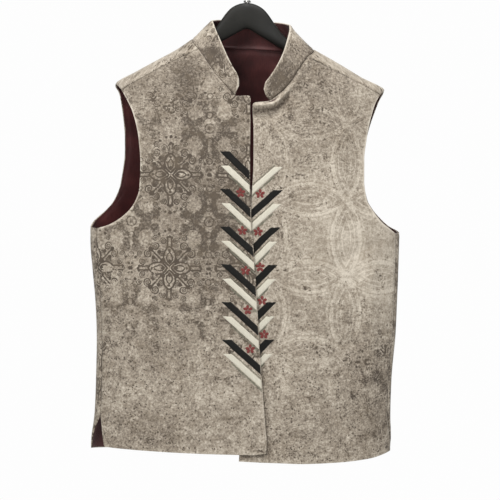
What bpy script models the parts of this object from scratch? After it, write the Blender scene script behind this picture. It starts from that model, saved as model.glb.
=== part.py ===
"""A nehru jacket on a hanger: two fronts, a back and a stand collar with their linings, over a broad
moulded hanger with a wire hook.

Metres, +Z up. The origin is the hook's seat on its rail, under the inside of the crest. The wearer
would face -Y, so the wearer's right front is on -X, and it laps over the left front.

The jacket's face is a stack of rings. A place on it is (around, height): around is 0 at the middle of
the back, -1 and +1 at the left and right side or shoulder ridge, and -2 or +2 at the middle of the front.
"""

import math

import bmesh
import bpy
import numpy as np

# Cloth
WALL = 0.002
LINING_WALL = 0.001
GAP = 0.0003
LINING_SLACK = 0.0017
LINING_INSET = 0.0035
LINING_HEM = 0.014
COLLAR_LINING_INSET = 0.0012
LAP_DEPTH = 0.0056
LAP_FADE = (0.045, 0.115)

# Ring shape
MIDDLE = 0.0045
CORNER = 2.4
RING_FLATNESS = 0.26
SIDE_SEAM = 1.095
SLIT_TOP = -0.742
SLIT_LENGTH = 0.050
QUARTER_LENGTH = 0.28

# Rings: height, left and right extreme, depth of the front and of the back
RINGS = (
    (-0.830, -0.2475, 0.2482, 0.068, 0.046),
    (-0.786, -0.2460, 0.2484, 0.068, 0.046),
    (-0.737, -0.2417, 0.2478, 0.068, 0.047),
    (-0.686, -0.2405, 0.2489, 0.068, 0.048),
    (-0.606, -0.2417, 0.2550, 0.069, 0.049),
    (-0.557, -0.2439, 0.2570, 0.070, 0.050),
    (-0.508, -0.2478, 0.2588, 0.070, 0.052),
    (-0.455, -0.2517, 0.2598, 0.070, 0.054),
    (-0.430, -0.2515, 0.2585, 0.070, 0.055),
    (-0.330, -0.2415, 0.2475, 0.067, 0.056),
    (-0.204, -0.2150, 0.2318, 0.058, 0.052),
    (-0.183, -0.1820, 0.1920, 0.056, 0.051),
    (-0.165, -0.1510, 0.1600, 0.054, 0.049),
    (-0.145, -0.1160, 0.1225, 0.050, 0.047),
    (-0.130, -0.0945, 0.0900, 0.047, 0.045),
    (-0.110, -0.0600, 0.0600, 0.044, 0.042),
    (-0.085, -0.0150, 0.0150, 0.040, 0.040),
)

# Soft folds: around at the top and at the hem end, top, bottom, half-width, height of the crest
FOLDS = (
    (-1.33, -1.24, -0.40, -0.80, 0.060, 0.0030),
    (-1.62, -1.70, -0.30, -0.62, 0.075, 0.0022),
    (-1.45, -1.55, -0.52, -0.83, 0.070, 0.0026),
    (1.31, 1.22, -0.42, -0.82, 0.055, 0.0032),
    (1.52, 1.60, -0.34, -0.70, 0.080, 0.0024),
    (1.73, 1.68, -0.60, -0.84, 0.070, 0.0026),
    (-0.58, -0.66, -0.26, -0.80, 0.085, 0.0034),
    (-0.20, -0.14, -0.50, -0.83, 0.080, 0.0030),
    (0.26, 0.18, -0.42, -0.83, 0.075, 0.0028),
    (0.62, 0.70, -0.24, -0.82, 0.085, 0.0036),
)

FOLD_SKEW = 0.8

# Edges of the fronts, as x and height
RIGHT_FRONT_EDGE = (
    (0.0352, -0.7925),
    (0.0312, -0.7556),
    (0.0201, -0.6275),
    (0.0104, -0.4947),
    (0.0034, -0.4131),
    (0.0012, -0.3300),
    (0.0015, -0.2233),
)
RIGHT_HEM = ((0.0325, -0.7990), (0.0126, -0.8012), (-0.0337, -0.8002), (-0.1687, -0.7948), (-0.2262, -0.7919))
RIGHT_NECK = (
    (-0.0242, -0.2252),
    (-0.0380, -0.2091),
    (-0.0540, -0.1913),
    (-0.0684, -0.1699),
    (-0.0827, -0.1471),
)
RIGHT_SHOULDER = ((-0.0827, -0.1471), (-0.1437, -0.1790), (-0.2059, -0.2156))
RIGHT_ARMHOLE = (
    (-0.2247, -0.4352),
    (-0.2004, -0.4203),
    (-0.1836, -0.4006),
    (-0.1754, -0.3760),
    (-0.1740, -0.3400),
    (-0.1775, -0.2950),
    (-0.1866, -0.2554),
    (-0.1979, -0.2302),
    (-0.2059, -0.2156),
)
LEFT_FRONT_EDGE = (
    (-0.0106, -0.8122),
    (-0.0035, -0.6000),
    (0.0039, -0.3922),
    (0.0071, -0.3360),
    (0.0070, -0.2850),
    (0.0046, -0.2361),
)
LEFT_HEM = (
    (-0.0106, -0.8122),
    (0.0355, -0.8148),
    (0.0904, -0.8167),
    (0.1477, -0.8156),
    (0.2064, -0.8115),
    (0.2415, -0.8030),
)
LEFT_NECK = ((0.0340, -0.2313), (0.0545, -0.2137), (0.0684, -0.1981), (0.0797, -0.1796), (0.0964, -0.1552))
LEFT_SHOULDER = ((0.0964, -0.1552), (0.1594, -0.1851), (0.2210, -0.2135))
LEFT_ARMHOLE = (
    (0.2405, -0.4330),
    (0.2215, -0.4215),
    (0.2055, -0.4050),
    (0.1955, -0.3885),
    (0.1905, -0.3560),
    (0.1905, -0.3234),
    (0.1945, -0.2900),
    (0.2032, -0.2573),
    (0.2105, -0.2403),
    (0.2210, -0.2135),
)

# Edges of the back, as x and height on its own side of the ridge
BACK_RIGHT_ARMHOLE = (
    (-0.2459, -0.4260),
    (-0.2281, -0.4089),
    (-0.2151, -0.3919),
    (-0.2050, -0.3650),
    (-0.1993, -0.3247),
    (-0.1990, -0.2900),
    (-0.2018, -0.2583),
    (-0.2060, -0.2300),
    (-0.2107, -0.2135),
)
BACK_LEFT_ARMHOLE = (
    (0.2400, -0.4210),
    (0.2225, -0.4019),
    (0.2130, -0.3848),
    (0.2070, -0.3560),
    (0.2055, -0.3167),
    (0.2095, -0.2850),
    (0.2150, -0.2600),
    (0.2225, -0.2350),
    (0.2290, -0.2159),
)
UNDERARM = {"right": -0.4403, "left": -0.4363}
TIP = {"right": -0.2040, "left": -0.2040}
NECK_POINT = {"right": -0.1244, "left": -0.1355}
UNDERARM_RISE = 0.0024
BACK_SLIT_OPEN = 0.040
BACK_HEM = {"right": -0.7995, "middle": -0.8060, "left": -0.8030}
BACK_NECK = -0.1300
BACK_MIDDLE = {"underarm": -0.4400, "tip": -0.2060}
LEVELLING = 2.5
FRONT_SLIT_OPEN = {"right": 0.085, "left": 0.012}

# Collar: its top edge in space, from the right front's corner round the neck to the left front's
COLLAR_TOP_RIGHT = (
    (-0.0180, -0.0590, -0.2090),
    (-0.0176, -0.0575, -0.2000),
    (-0.0200, -0.0555, -0.1895),
    (-0.0254, -0.0525, -0.1800),
    (-0.0327, -0.0485, -0.1655),
    (-0.0397, -0.0425, -0.1490),
    (-0.0462, -0.0340, -0.1315),
    (-0.0542, -0.0190, -0.1090),
    (-0.0575, -0.0010, -0.0940),
)
COLLAR_TOP_BACK = (
    (-0.0575, -0.0010, -0.0940),
    (-0.0450, 0.0200, -0.0890),
    (-0.0250, 0.0340, -0.0870),
    (0.0070, 0.0400, -0.0870),
    (0.0400, 0.0350, -0.0880),
    (0.0610, 0.0210, -0.0910),
    (0.0716, -0.0010, -0.0972),
)
COLLAR_TOP_LEFT = (
    (0.0716, -0.0010, -0.0972),
    (0.0688, -0.0190, -0.1095),
    (0.0640, -0.0310, -0.1250),
    (0.0560, -0.0420, -0.1489),
    (0.0436, -0.0500, -0.1746),
    (0.0326, -0.0540, -0.1916),
    (0.0250, -0.0565, -0.2030),
    (0.0232, -0.0590, -0.2130),
)
COLLAR_END_RIGHT = (-0.0220, -0.0590, -0.2190)
COLLAR_END_LEFT = (0.0262, -0.0590, -0.2235)

# Hanger: distance from its middle, top, bottom, half-thickness and forward bow of a section
HANGER_SECTIONS = (
    (0.000, -0.0635, -0.1047, 0.0075, 0.000),
    (0.010, -0.0647, -0.1106, 0.0075, 0.000),
    (0.020, -0.0685, -0.1165, 0.0078, 0.000),
    (0.030, -0.0755, -0.1224, 0.0082, 0.001),
    (0.038, -0.0860, -0.1271, 0.0086, 0.001),
    (0.046, -0.0985, -0.1318, 0.0092, 0.002),
    (0.054, -0.1095, -0.1366, 0.0098, 0.002),
    (0.064, -0.1200, -0.1425, 0.0106, 0.003),
    (0.080, -0.1312, -0.1519, 0.0118, 0.004),
    (0.110, -0.1492, -0.1696, 0.0140, 0.006),
    (0.150, -0.1722, -0.1932, 0.0165, 0.008),
    (0.180, -0.1894, -0.2109, 0.0180, 0.009),
    (0.193, -0.1982, -0.2183, 0.0172, 0.009),
    (0.199, -0.2045, -0.2200, 0.0120, 0.009),
)
HANGER_FACETS = 16
HANGER_CORNER = 2.6

# Hook
WIRE_RADIUS = 0.0019
SEAT_RADIUS = 0.0190
HOOK_TIP_ANGLE = math.radians(205)
HOOK_FOOT_ANGLE = math.radians(-48)
SHANK_TOP = -0.0500
SHANK_FOOT = -0.0760
BORE_FOOT = -0.0768
WIRE_STEP = 0.0045
FERRULE = (
    (0.0060, -0.0604),
    (0.0060, -0.0628),
    (0.0022, -0.0628),
    (0.0022, -0.0570),
    (0.0038, -0.0570),
    (0.0038, -0.0604),
)
FERRULE_STEPS = 24

# How many steps each stretch of a grid takes
SIDE_ROWS = 10
ARMHOLE_ROWS = 12
SHOULDER_ROWS = 7
FRONT_COLUMNS = 12
BACK_COLUMNS = 26
STRIP_COLUMNS = 3
SIDE_BIAS = 0.35
UNDERARM_BIAS = 0.40
SIDE_CROWDING = 0.115
COLLAR_ROWS = 3
COLLAR_FRONT_STEPS = 8
COLLAR_WRAP_STEPS = 3
COLLAR_BACK_STEPS = 12

COLOURS = {
    "jacket cloth": (0.40, 0.35, 0.30, 1.0),
    "lining cloth": (0.085, 0.012, 0.018, 1.0),
    "hanger plastic": (0.018, 0.018, 0.020, 1.0),
    "hook steel": (0.55, 0.55, 0.56, 1.0),
}


def smooth(at, stations, values):
    """Values on a smooth curve through the stations, which overshoots none of them."""
    stations = np.asarray(stations, float)
    values = np.asarray(values, float)
    widths = np.diff(stations)
    steps = np.diff(values) / widths
    slopes = np.concatenate([steps[:1], np.zeros(len(steps) - 1), steps[-1:]])
    turns = steps[:-1] * steps[1:]
    level = turns > 0
    slopes[1:-1][level] = 2 * turns[level] / (steps[:-1] + steps[1:])[level]
    at = np.clip(at, stations[0], stations[-1])
    cell = np.clip(np.searchsorted(stations, at, side="right") - 1, 0, len(steps) - 1)
    t = (at - stations[cell]) / widths[cell]
    start = (1 + 2 * t) * (1 - t) ** 2 * values[cell] + t * (1 - t) ** 2 * widths[cell] * slopes[cell]
    end = t**2 * (3 - 2 * t) * values[cell + 1] - t**2 * (1 - t) * widths[cell] * slopes[cell + 1]
    return start + end


RING_ANGLES = np.linspace(0, math.pi / 2, 241)
RING_SPAN = np.sin(RING_ANGLES) ** (2 / CORNER)
RING_DEPTH = np.abs(np.cos(RING_ANGLES)) ** (2 / CORNER)
RING_STEPS = np.hypot(np.diff(RING_SPAN), RING_FLATNESS * np.diff(RING_DEPTH))
RING_LENGTHS = np.concatenate([[0], np.cumsum(RING_STEPS)])
RING_SHARES = RING_LENGTHS / RING_LENGTHS[-1]
HEIGHTS, LEFT_EXTREMES, RIGHT_EXTREMES, FRONT_DEPTHS, BACK_DEPTHS = np.array(RINGS).T


def body(around, height):
    """Points of the jacket's smooth face."""
    around = (np.asarray(around, float) + 2) % 4 - 2
    height = np.asarray(height, float)
    share = np.abs(around)
    in_front = share > 1
    angle = np.interp(np.where(in_front, 2 - share, share), RING_SHARES, RING_ANGLES)
    span = np.sin(angle) ** (2 / CORNER)
    depth = np.abs(np.cos(angle)) ** (2 / CORNER)
    left = smooth(height, HEIGHTS, LEFT_EXTREMES)
    right = smooth(height, HEIGHTS, RIGHT_EXTREMES)
    extreme = np.where(around < 0, left, right)
    front = -smooth(height, HEIGHTS, FRONT_DEPTHS)
    back = smooth(height, HEIGHTS, BACK_DEPTHS)
    x = MIDDLE + span * (extreme - MIDDLE)
    return np.stack([x, depth * np.where(in_front, front, back), height], axis=-1)


def around_at(x, height, in_front, side):
    """The around of a point with this x. Side is -1 for the pieces on -X and 1 for those on +X."""
    extreme = smooth(height, HEIGHTS, np.where(x < MIDDLE, LEFT_EXTREMES, RIGHT_EXTREMES))
    span = np.clip((x - MIDDLE) / (extreme - MIDDLE), 0, 1)
    share = np.interp(np.arcsin(span ** (CORNER / 2)), RING_ANGLES, RING_SHARES)
    crossed = (x < MIDDLE) != (side < 0)
    if in_front:
        return side * (2 + share if crossed else 2 - share)
    return side * share


def outward(around, height):
    """Unit normals of the smooth face."""
    step = 0.0015
    along = body(around + step, height) - body(around - step, height)
    up = body(around, height + step) - body(around, height - step)
    normal = np.cross(up, along)
    return normal / np.linalg.norm(normal, axis=-1, keepdims=True)


def fold(around, height):
    """How far the soft folds lift the face."""
    lift = np.zeros(np.shape(around))
    for top_around, foot_around, top, foot, width, crest in FOLDS:
        along = np.clip((top - height) / (top - foot), 0, 1)
        centre = top_around + (foot_around - top_around) * along
        rise = np.sin(math.pi * along**FOLD_SKEW)
        lift += crest * rise * np.exp(-(((around - centre) / width) ** 2))
    return lift


def lap(around, height):
    """How far the left front's edge lies in under the right front's."""
    x = body(around, height)[..., 0]
    near, far = LAP_FADE
    t = np.clip((far - x) / (far - near), 0, 1)
    return LAP_DEPTH * t * t * (3 - 2 * t)


def line(points, count, bias=0.0):
    """Points on a smooth curve through the given ones, evenly spaced or closer towards its end."""
    points = np.array(points, float)
    travel = np.concatenate([[0], np.cumsum(np.linalg.norm(np.diff(points, axis=0), axis=1))])
    at = travel[-1] * shares(count, bias)
    return np.stack([smooth(at, travel, column) for column in points.T], axis=-1)


def shares(count, bias):
    """Steps from 0 to 1 that a bias above 0 sets closer towards 1."""
    even = np.linspace(0, 1, count + 1)
    return 1 - (1 - even) ** (1 + bias)


def joined(*lines):
    """Lines end to end, without their shared points."""
    return np.concatenate([lines[0]] + [each[1:] for each in lines[1:]])


def filled(bottom, top, left, right, bias=0.0):
    """A grid of rows between four edges that meet at the corners."""
    u = shares(len(bottom) - 1, bias)[None, :, None]
    v = np.linspace(0, 1, len(left))[:, None, None]
    across = (1 - u) * left[:, None] + u * right[:, None]
    upward = (1 - v) * bottom[None] + v * top[None]
    corners = (1 - v) * ((1 - u) * bottom[0] + u * bottom[-1]) + v * ((1 - u) * top[0] + u * top[-1])
    return across + upward - corners


def front_grid(side, edge, hem, neck, shoulder, armhole, side_rows, armhole_rows, columns):
    """The (around, height) grid of a front. Its rows run from the front edge to the side."""
    name = "right" if side < 0 else "left"
    heights = np.linspace(hem[-1][1], UNDERARM[name], side_rows + 1)
    opened = np.clip((SLIT_TOP - heights) / SLIT_LENGTH, 0, 1) * FRONT_SLIT_OPEN[name]
    seam = body(side * (SIDE_SEAM + GAP + opened), heights)[:, [0, 2]]
    side_edge = joined(seam, line([seam[-1], *armhole], armhole_rows))
    neck_rows = armhole_rows // 2
    straight = line(edge, side_rows + armhole_rows - neck_rows - 1)
    if side < 0:
        straight[0] = hem[0]
    inner_edge = joined(straight, line([edge[-1], neck[0]], 1), line(neck, neck_rows))
    shoulder_line = line(shoulder, columns, SIDE_BIAS) - (0, GAP)
    inner_edge[-1] = shoulder_line[0]
    side_edge[-1] = shoulder_line[-1]
    bottom = line([straight[0], *hem[1:-1], seam[0]], columns, SIDE_BIAS)
    grid = filled(bottom, shoulder_line, inner_edge, side_edge, SIDE_BIAS)
    around = np.vectorize(lambda x, z: around_at(x, z, True, side))(grid[..., 0], grid[..., 1])
    around[: side_rows + 1, -1] = side * (SIDE_SEAM + GAP + opened)
    return np.stack([around, grid[..., 1]], axis=-1)


def back_edge(side, armhole, side_rows, armhole_rows, shoulder_rows):
    """The back's edge from the hem up its side, round its armhole and along its shoulder ridge."""
    name = "right" if side < 0 else "left"
    heights = np.linspace(BACK_HEM[name], UNDERARM[name], side_rows + 1)
    opened = np.clip((SLIT_TOP - heights) / SLIT_LENGTH, 0, 1) * BACK_SLIT_OPEN
    seam = np.stack([side * (SIDE_SEAM - opened), heights], axis=-1)
    extreme = (side * 1.0, UNDERARM[name] + UNDERARM_RISE)
    rise = [(around_at(x, z, False, side), z) for x, z in armhole]
    scale = np.array([QUARTER_LENGTH, 1.0])
    outline = np.array([seam[-1], extreme, *rise, (side * 1.0, TIP[name])]) * scale
    hole = line(outline[::-1], armhole_rows, UNDERARM_BIAS)[::-1] / scale
    ridge = np.linspace((side * 1.0, TIP[name]), (side * 1.0, NECK_POINT[name]), shoulder_rows + 1)
    return joined(seam, hole, ridge)


def levelled(left, middle, right, u):
    """Heights along a row that starts at its left end's, levels out and ends at its right end's."""
    near_left = np.clip(1 - 2 * u, 0, 1) ** LEVELLING
    near_right = np.clip(2 * u - 1, 0, 1) ** LEVELLING
    return middle + (left - middle) * near_left + (right - middle) * near_right


def back_grid(side_rows, armhole_rows, shoulder_rows, columns):
    """The (around, height) grid of the back up to its shoulder ridges. Its rows run from -X to +X."""
    left = back_edge(-1, BACK_RIGHT_ARMHOLE, side_rows, armhole_rows, shoulder_rows)
    right = back_edge(1, BACK_LEFT_ARMHOLE, side_rows, armhole_rows, shoulder_rows)
    middle = joined(
        np.linspace(BACK_HEM["middle"], BACK_MIDDLE["underarm"], side_rows + 1),
        np.linspace(BACK_MIDDLE["underarm"], BACK_MIDDLE["tip"], armhole_rows + 1),
        np.linspace(BACK_MIDDLE["tip"], BACK_NECK, shoulder_rows + 1),
    )[:, None]
    u = np.linspace(0, 1, columns + 1)
    u = (u - SIDE_CROWDING * np.sin(2 * math.pi * u))[None]
    height = levelled(left[:, 1:], middle, right[:, 1:], u)
    around = left[:, :1] * (1 - u) + right[:, :1] * u
    return np.stack([around, height], axis=-1)


def shoulder_strip(side, shoulder, shoulder_rows, columns):
    """The grid that wraps from a shoulder ridge forward to the shoulder seam."""
    name = "right" if side < 0 else "left"
    ridge = np.linspace((side * 1.0, TIP[name]), (side * 1.0, NECK_POINT[name]), shoulder_rows + 1)
    seam = line(shoulder[::-1], shoulder_rows)
    seam = np.array([(around_at(x, z, True, side), z) for x, z in seam])
    u = np.linspace(0, 1, columns + 1)[None, :, None]
    return ridge[:, None] * (1 - u) + seam[:, None] * u


def drawn_in(grid, first_row, last_row, first_column, last_column):
    """The grid with its outer rows and columns moved in by these distances."""
    grid = grid.copy()
    for border, beside, distance in (
        ((0, slice(None)), (1, slice(None)), first_row),
        ((-1, slice(None)), (-2, slice(None)), last_row),
        ((slice(None), 0), (slice(None), 1), first_column),
        ((slice(None), -1), (slice(None), -2), last_column),
    ):
        spacing = np.linalg.norm(body(*grid[border].T) - body(*grid[beside].T), axis=-1)[:, None]
        share = np.minimum(distance / spacing, 0.6)
        grid[border] = grid[border] + (grid[beside] - grid[border]) * share
    return grid


def grid_mesh(bm, rows, columns):
    """Adds a flat grid of vertices and faces and returns its vertices, row by row."""
    vertices = [[bm.verts.new((u, v, 0)) for u in range(columns)] for v in range(rows)]
    for v in range(rows - 1):
        for u in range(columns - 1):
            bm.faces.new((vertices[v][u], vertices[v][u + 1], vertices[v + 1][u + 1], vertices[v + 1][u]))
    return vertices


def wall_object(name, faces, material, parts):
    """A closed wall from pairs of matching grids, (outer points, inner points), welded where they meet."""
    bm = bmesh.new()
    inner_places = {}
    for outer, inner in faces:
        vertices = grid_mesh(bm, outer.shape[0], outer.shape[1])
        for v, row in enumerate(vertices):
            for u, vertex in enumerate(row):
                vertex.co = outer[v, u]
                inner_places[tuple(np.round(outer[v, u], 6))] = inner[v, u]
    bmesh.ops.remove_doubles(bm, verts=bm.verts, dist=0.00005)
    bmesh.ops.recalc_face_normals(bm, faces=bm.faces)
    bmesh.ops.triangulate(bm, faces=bm.faces, quad_method="FIXED")
    keys = np.array(list(inner_places))
    values = np.array(list(inner_places.values()))
    outer_verts = list(bm.verts)
    outer_faces = list(bm.faces)
    rim = [edge for edge in bm.edges if edge.is_boundary]
    twins = {}
    for vertex in outer_verts:
        nearest = np.argmin(((keys - np.array(vertex.co)) ** 2).sum(axis=1))
        twins[vertex] = bm.verts.new(values[nearest])
    for edge in rim:
        first, second = edge.link_loops[0].vert, edge.link_loops[0].link_loop_next.vert
        bm.faces.new((second, first, twins[first], twins[second]))
    for face in outer_faces:
        bm.faces.new([twins[vertex] for vertex in reversed(face.verts)])
    bmesh.ops.recalc_face_normals(bm, faces=bm.faces)
    return mesh_object(name, bm, material, parts)


def mesh_object(name, bm, material, parts):
    mesh = bpy.data.meshes.new(name)
    bm.to_mesh(mesh)
    bm.free()
    mesh.materials.append(material)
    mesh.shade_smooth()
    mesh.set_sharp_from_angle(angle=math.radians(40))
    obj = bpy.data.objects.new(name, mesh)
    parts.objects.link(obj)
    return obj


def cloth(grid, inward, wall, folded=True, tucked=False):
    """The outer and inner points of a wall on the jacket's face, this far in from it."""
    around, height = grid[..., 0], grid[..., 1]
    lift = (fold(around, height) if folded else 0) - inward - (lap(around, height) if tucked else 0)
    lift = np.broadcast_to(lift, around.shape)[..., None]
    normal = outward(around, height)
    points = body(around, height)
    return points + normal * lift, points + normal * (lift - wall)


def make_fronts(cloth_material, lining_material, parts):
    """Both fronts, each with its lining. The left one lies under the right one."""
    right = (-1, RIGHT_FRONT_EDGE, RIGHT_HEM, RIGHT_NECK, RIGHT_SHOULDER, RIGHT_ARMHOLE)
    left = (1, LEFT_FRONT_EDGE, LEFT_HEM, LEFT_NECK, LEFT_SHOULDER, LEFT_ARMHOLE)
    for name, outline, tucked in (("right", right, False), ("left", left, True)):
        grid = front_grid(*outline, SIDE_ROWS, ARMHOLE_ROWS, FRONT_COLUMNS)
        wall_object(f"front_{name}", [cloth(grid, 0, WALL, tucked=tucked)], cloth_material, parts)
        grid = front_grid(*outline, SIDE_ROWS, ARMHOLE_ROWS, FRONT_COLUMNS)
        grid = drawn_in(grid, LINING_HEM, LINING_INSET, LINING_INSET, LINING_INSET)
        pair = cloth(grid, WALL + LINING_SLACK, LINING_WALL, folded=False, tucked=tucked)
        wall_object(f"lining_front_{name}", [pair], lining_material, parts)


def make_back(cloth_material, lining_material, parts):
    """The back with the strips that wrap over the shoulders, and its lining, which ends at the ridges."""
    grids = [
        back_grid(SIDE_ROWS, ARMHOLE_ROWS, SHOULDER_ROWS, BACK_COLUMNS),
        shoulder_strip(-1, RIGHT_SHOULDER, SHOULDER_ROWS, STRIP_COLUMNS),
        shoulder_strip(1, LEFT_SHOULDER, SHOULDER_ROWS, STRIP_COLUMNS),
    ]
    wall_object("back", [cloth(grid, 0, WALL) for grid in grids], cloth_material, parts)
    grid = back_grid(SIDE_ROWS, ARMHOLE_ROWS, SHOULDER_ROWS, BACK_COLUMNS)
    grid = drawn_in(grid, LINING_HEM, LINING_INSET, LINING_INSET, LINING_INSET)
    pair = cloth(grid, WALL + LINING_SLACK, LINING_WALL, folded=False)
    wall_object("lining_back", [pair], lining_material, parts)


def collar_seam():
    """Points of the neck edge from the right front's collar end round the back to the left front's."""
    stretches = []
    for side, neck, name in ((-1, RIGHT_NECK, "right"), (1, LEFT_NECK, "left")):
        front = np.array([(around_at(x, z, True, side), z) for x, z in line(neck, COLLAR_FRONT_STEPS)])
        wrap = np.linspace(front[-1], (side * 1.0, NECK_POINT[name]), COLLAR_WRAP_STEPS + 1)
        stretches.append(joined(front, wrap))
    u = np.linspace(0, 1, COLLAR_BACK_STEPS + 1)
    height = levelled(NECK_POINT["right"], BACK_NECK, NECK_POINT["left"], u)
    back = np.stack([2 * u - 1, height], axis=-1)
    path = joined(stretches[0], back, stretches[1][::-1])
    return body(path[:, 0], path[:, 1])


def trimmed(points, axis, margin):
    """The grid with its two borders across this axis moved in by the margin."""
    points = np.moveaxis(points.copy(), axis, 0)
    for border, beside in ((0, 1), (-1, -2)):
        step = points[beside] - points[border]
        points[border] += step * margin / np.linalg.norm(step, axis=-1, keepdims=True)
    return np.moveaxis(points, 0, axis)


def make_collar(cloth_material, lining_material, parts):
    """The stand collar and its lining: a band between the neck edge and its own top edge."""
    seam = collar_seam()
    front_steps = COLLAR_FRONT_STEPS + COLLAR_WRAP_STEPS
    top = joined(
        line(COLLAR_TOP_RIGHT, front_steps),
        line(COLLAR_TOP_BACK, COLLAR_BACK_STEPS),
        line(COLLAR_TOP_LEFT, front_steps),
    )
    rise = top - seam
    seam = seam + rise / np.linalg.norm(rise, axis=1, keepdims=True) * 2 * GAP
    ends = []
    for foot, middle, corner in ((seam[0], COLLAR_END_RIGHT, top[0]), (seam[-1], COLLAR_END_LEFT, top[-1])):
        ends.append(line([foot, middle, corner], COLLAR_ROWS))
    band = filled(seam, top, ends[0], ends[1])
    along = np.gradient(band, axis=1)
    up = np.gradient(band, axis=0)
    normal = np.cross(up, along)
    normal /= np.linalg.norm(normal, axis=-1, keepdims=True)
    wall_object("collar", [(band, band - normal * WALL)], cloth_material, parts)
    band = band - normal * (WALL + GAP)
    band = trimmed(trimmed(band, 0, COLLAR_LINING_INSET), 1, COLLAR_LINING_INSET)
    pair = (band, band - normal * LINING_WALL)
    wall_object("collar_lining", [pair], lining_material, parts)


def make_hanger_body(material, parts, cutters):
    """The moulded hanger: rounded sections from one end to the other, with a bore for the hook."""
    half = np.array(HANGER_SECTIONS)
    sections = np.concatenate([half[:0:-1] * (-1, 1, 1, 1, 1), half])
    turn = np.linspace(0, 2 * math.pi, HANGER_FACETS, endpoint=False)
    shape_y = np.sign(np.cos(turn)) * np.abs(np.cos(turn)) ** (2 / HANGER_CORNER)
    shape_z = np.sign(np.sin(turn)) * np.abs(np.sin(turn)) ** (2 / HANGER_CORNER)
    bm = bmesh.new()
    rings = []
    for x, top, bottom, thickness, bow in sections:
        middle, tall = (top + bottom) / 2, (top - bottom) / 2
        ring = zip(-bow + thickness * shape_y, middle + tall * shape_z)
        rings.append([bm.verts.new((x, y, z)) for y, z in ring])
    for first, second in zip(rings, rings[1:]):
        for k in range(HANGER_FACETS):
            after = (k + 1) % HANGER_FACETS
            bm.faces.new((first[k], first[after], second[after], second[k]))
    bm.faces.new(rings[0])
    bm.faces.new(rings[-1])
    bmesh.ops.recalc_face_normals(bm, faces=bm.faces)
    hanger = mesh_object("hanger_body", bm, material, parts)
    bm = bmesh.new()
    bmesh.ops.create_cone(
        bm, cap_ends=True, segments=20, radius1=WIRE_RADIUS + GAP, radius2=WIRE_RADIUS + GAP, depth=0.040
    )
    bore = mesh_object("hook_bore", bm, material, cutters)
    bore.location = (0, 0, BORE_FOOT + 0.020)
    bore.hide_render = True
    bore.display_type = "WIRE"
    cut = hanger.modifiers.new("bore", "BOOLEAN")
    cut.object = bore
    cut.operation = "DIFFERENCE"


def make_hook(material, parts):
    """The wire hook: a shank, a swing out to the side and the arc over the rail, in the hanger's plane."""
    radius = SEAT_RADIUS + WIRE_RADIUS
    centre = -SEAT_RADIUS
    points = [(0.0, z) for z in np.arange(SHANK_FOOT, SHANK_TOP, WIRE_STEP)]
    start = np.array([0.0, SHANK_TOP])
    end = np.array([radius * math.cos(HOOK_FOOT_ANGLE), centre + radius * math.sin(HOOK_FOOT_ANGLE)])
    leave = np.array([0.0, 0.024])
    arrive = 0.024 * np.array([-math.sin(HOOK_FOOT_ANGLE), math.cos(HOOK_FOOT_ANGLE)])
    for t in np.linspace(0, 1, 6)[:-1]:
        place = (1 + 2 * t) * (1 - t) ** 2 * start + t * (1 - t) ** 2 * leave
        points.append(tuple(place + t * t * (3 - 2 * t) * end - t * t * (1 - t) * arrive))
    arc_steps = round(radius * (HOOK_TIP_ANGLE - HOOK_FOOT_ANGLE) / WIRE_STEP)
    for angle in np.linspace(HOOK_FOOT_ANGLE, HOOK_TIP_ANGLE, arc_steps + 1):
        points.append((radius * math.cos(angle), centre + radius * math.sin(angle)))
    curve = bpy.data.curves.new("hanger_hook", "CURVE")
    curve.dimensions = "3D"
    curve.bevel_depth = WIRE_RADIUS
    curve.bevel_resolution = 2
    curve.use_fill_caps = True
    spline = curve.splines.new("POLY")
    spline.points.add(len(points) - 1)
    for point, (x, z) in zip(spline.points, points):
        point.co = (x, 0, z, 1)
    curve.materials.append(material)
    hook = bpy.data.objects.new("hanger_hook", curve)
    parts.objects.link(hook)


def make_ferrule(material, parts):
    """The turned collar round the hook's shank, on top of the hanger."""
    bm = bmesh.new()
    corners = [bm.verts.new((radius, 0, z)) for radius, z in FERRULE]
    for first, second in zip(corners, corners[1:] + corners[:1]):
        bm.edges.new((first, second))
    ferrule = mesh_object("hanger_ferrule", bm, material, parts)
    turn = ferrule.modifiers.new("turn", "SCREW")
    turn.axis = "Z"
    turn.angle = 2 * math.pi
    turn.steps = FERRULE_STEPS
    turn.render_steps = FERRULE_STEPS
    turn.use_merge_vertices = True
    turn.merge_threshold = 0.00005


def make_material(name, roughness, metallic=0.0):
    material = bpy.data.materials.new(name)
    material.use_nodes = True
    shader = material.node_tree.nodes["Principled BSDF"]
    shader.inputs["Base Color"].default_value = COLOURS[name]
    shader.inputs["Roughness"].default_value = roughness
    shader.inputs["Metallic"].default_value = metallic
    material.diffuse_color = COLOURS[name]
    return material


def main():
    for obj in list(bpy.data.objects):
        bpy.data.objects.remove(obj)
    parts = bpy.data.collections.new("nehru_jacket_on_a_hanger")
    cutters = bpy.data.collections.new("cutters")
    bpy.context.scene.collection.children.link(parts)
    bpy.context.scene.collection.children.link(cutters)
    jacket = make_material("jacket cloth", 0.85)
    lining = make_material("lining cloth", 0.60)
    plastic = make_material("hanger plastic", 0.55)
    steel = make_material("hook steel", 0.25, metallic=1.0)
    make_fronts(jacket, lining, parts)
    make_back(jacket, lining, parts)
    make_collar(jacket, lining, parts)
    make_hanger_body(plastic, parts, cutters)
    make_hook(steel, parts)
    make_ferrule(steel, parts)


main()
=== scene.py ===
"""The looks of a nehru jacket on a hanger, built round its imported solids.

Metres, +Z up, in the solids' frame. A place on the jacket's face is (around, height): around is 0 at the
middle of the back, -1 and +1 at the left and right side or shoulder ridge, -2 or +2 at the front middle.
"""

import functools
import math

import bmesh
import bpy
import numpy as np
from mathutils import Matrix, Vector
from mathutils.bvhtree import BVHTree
from mathutils.kdtree import KDTree


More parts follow.
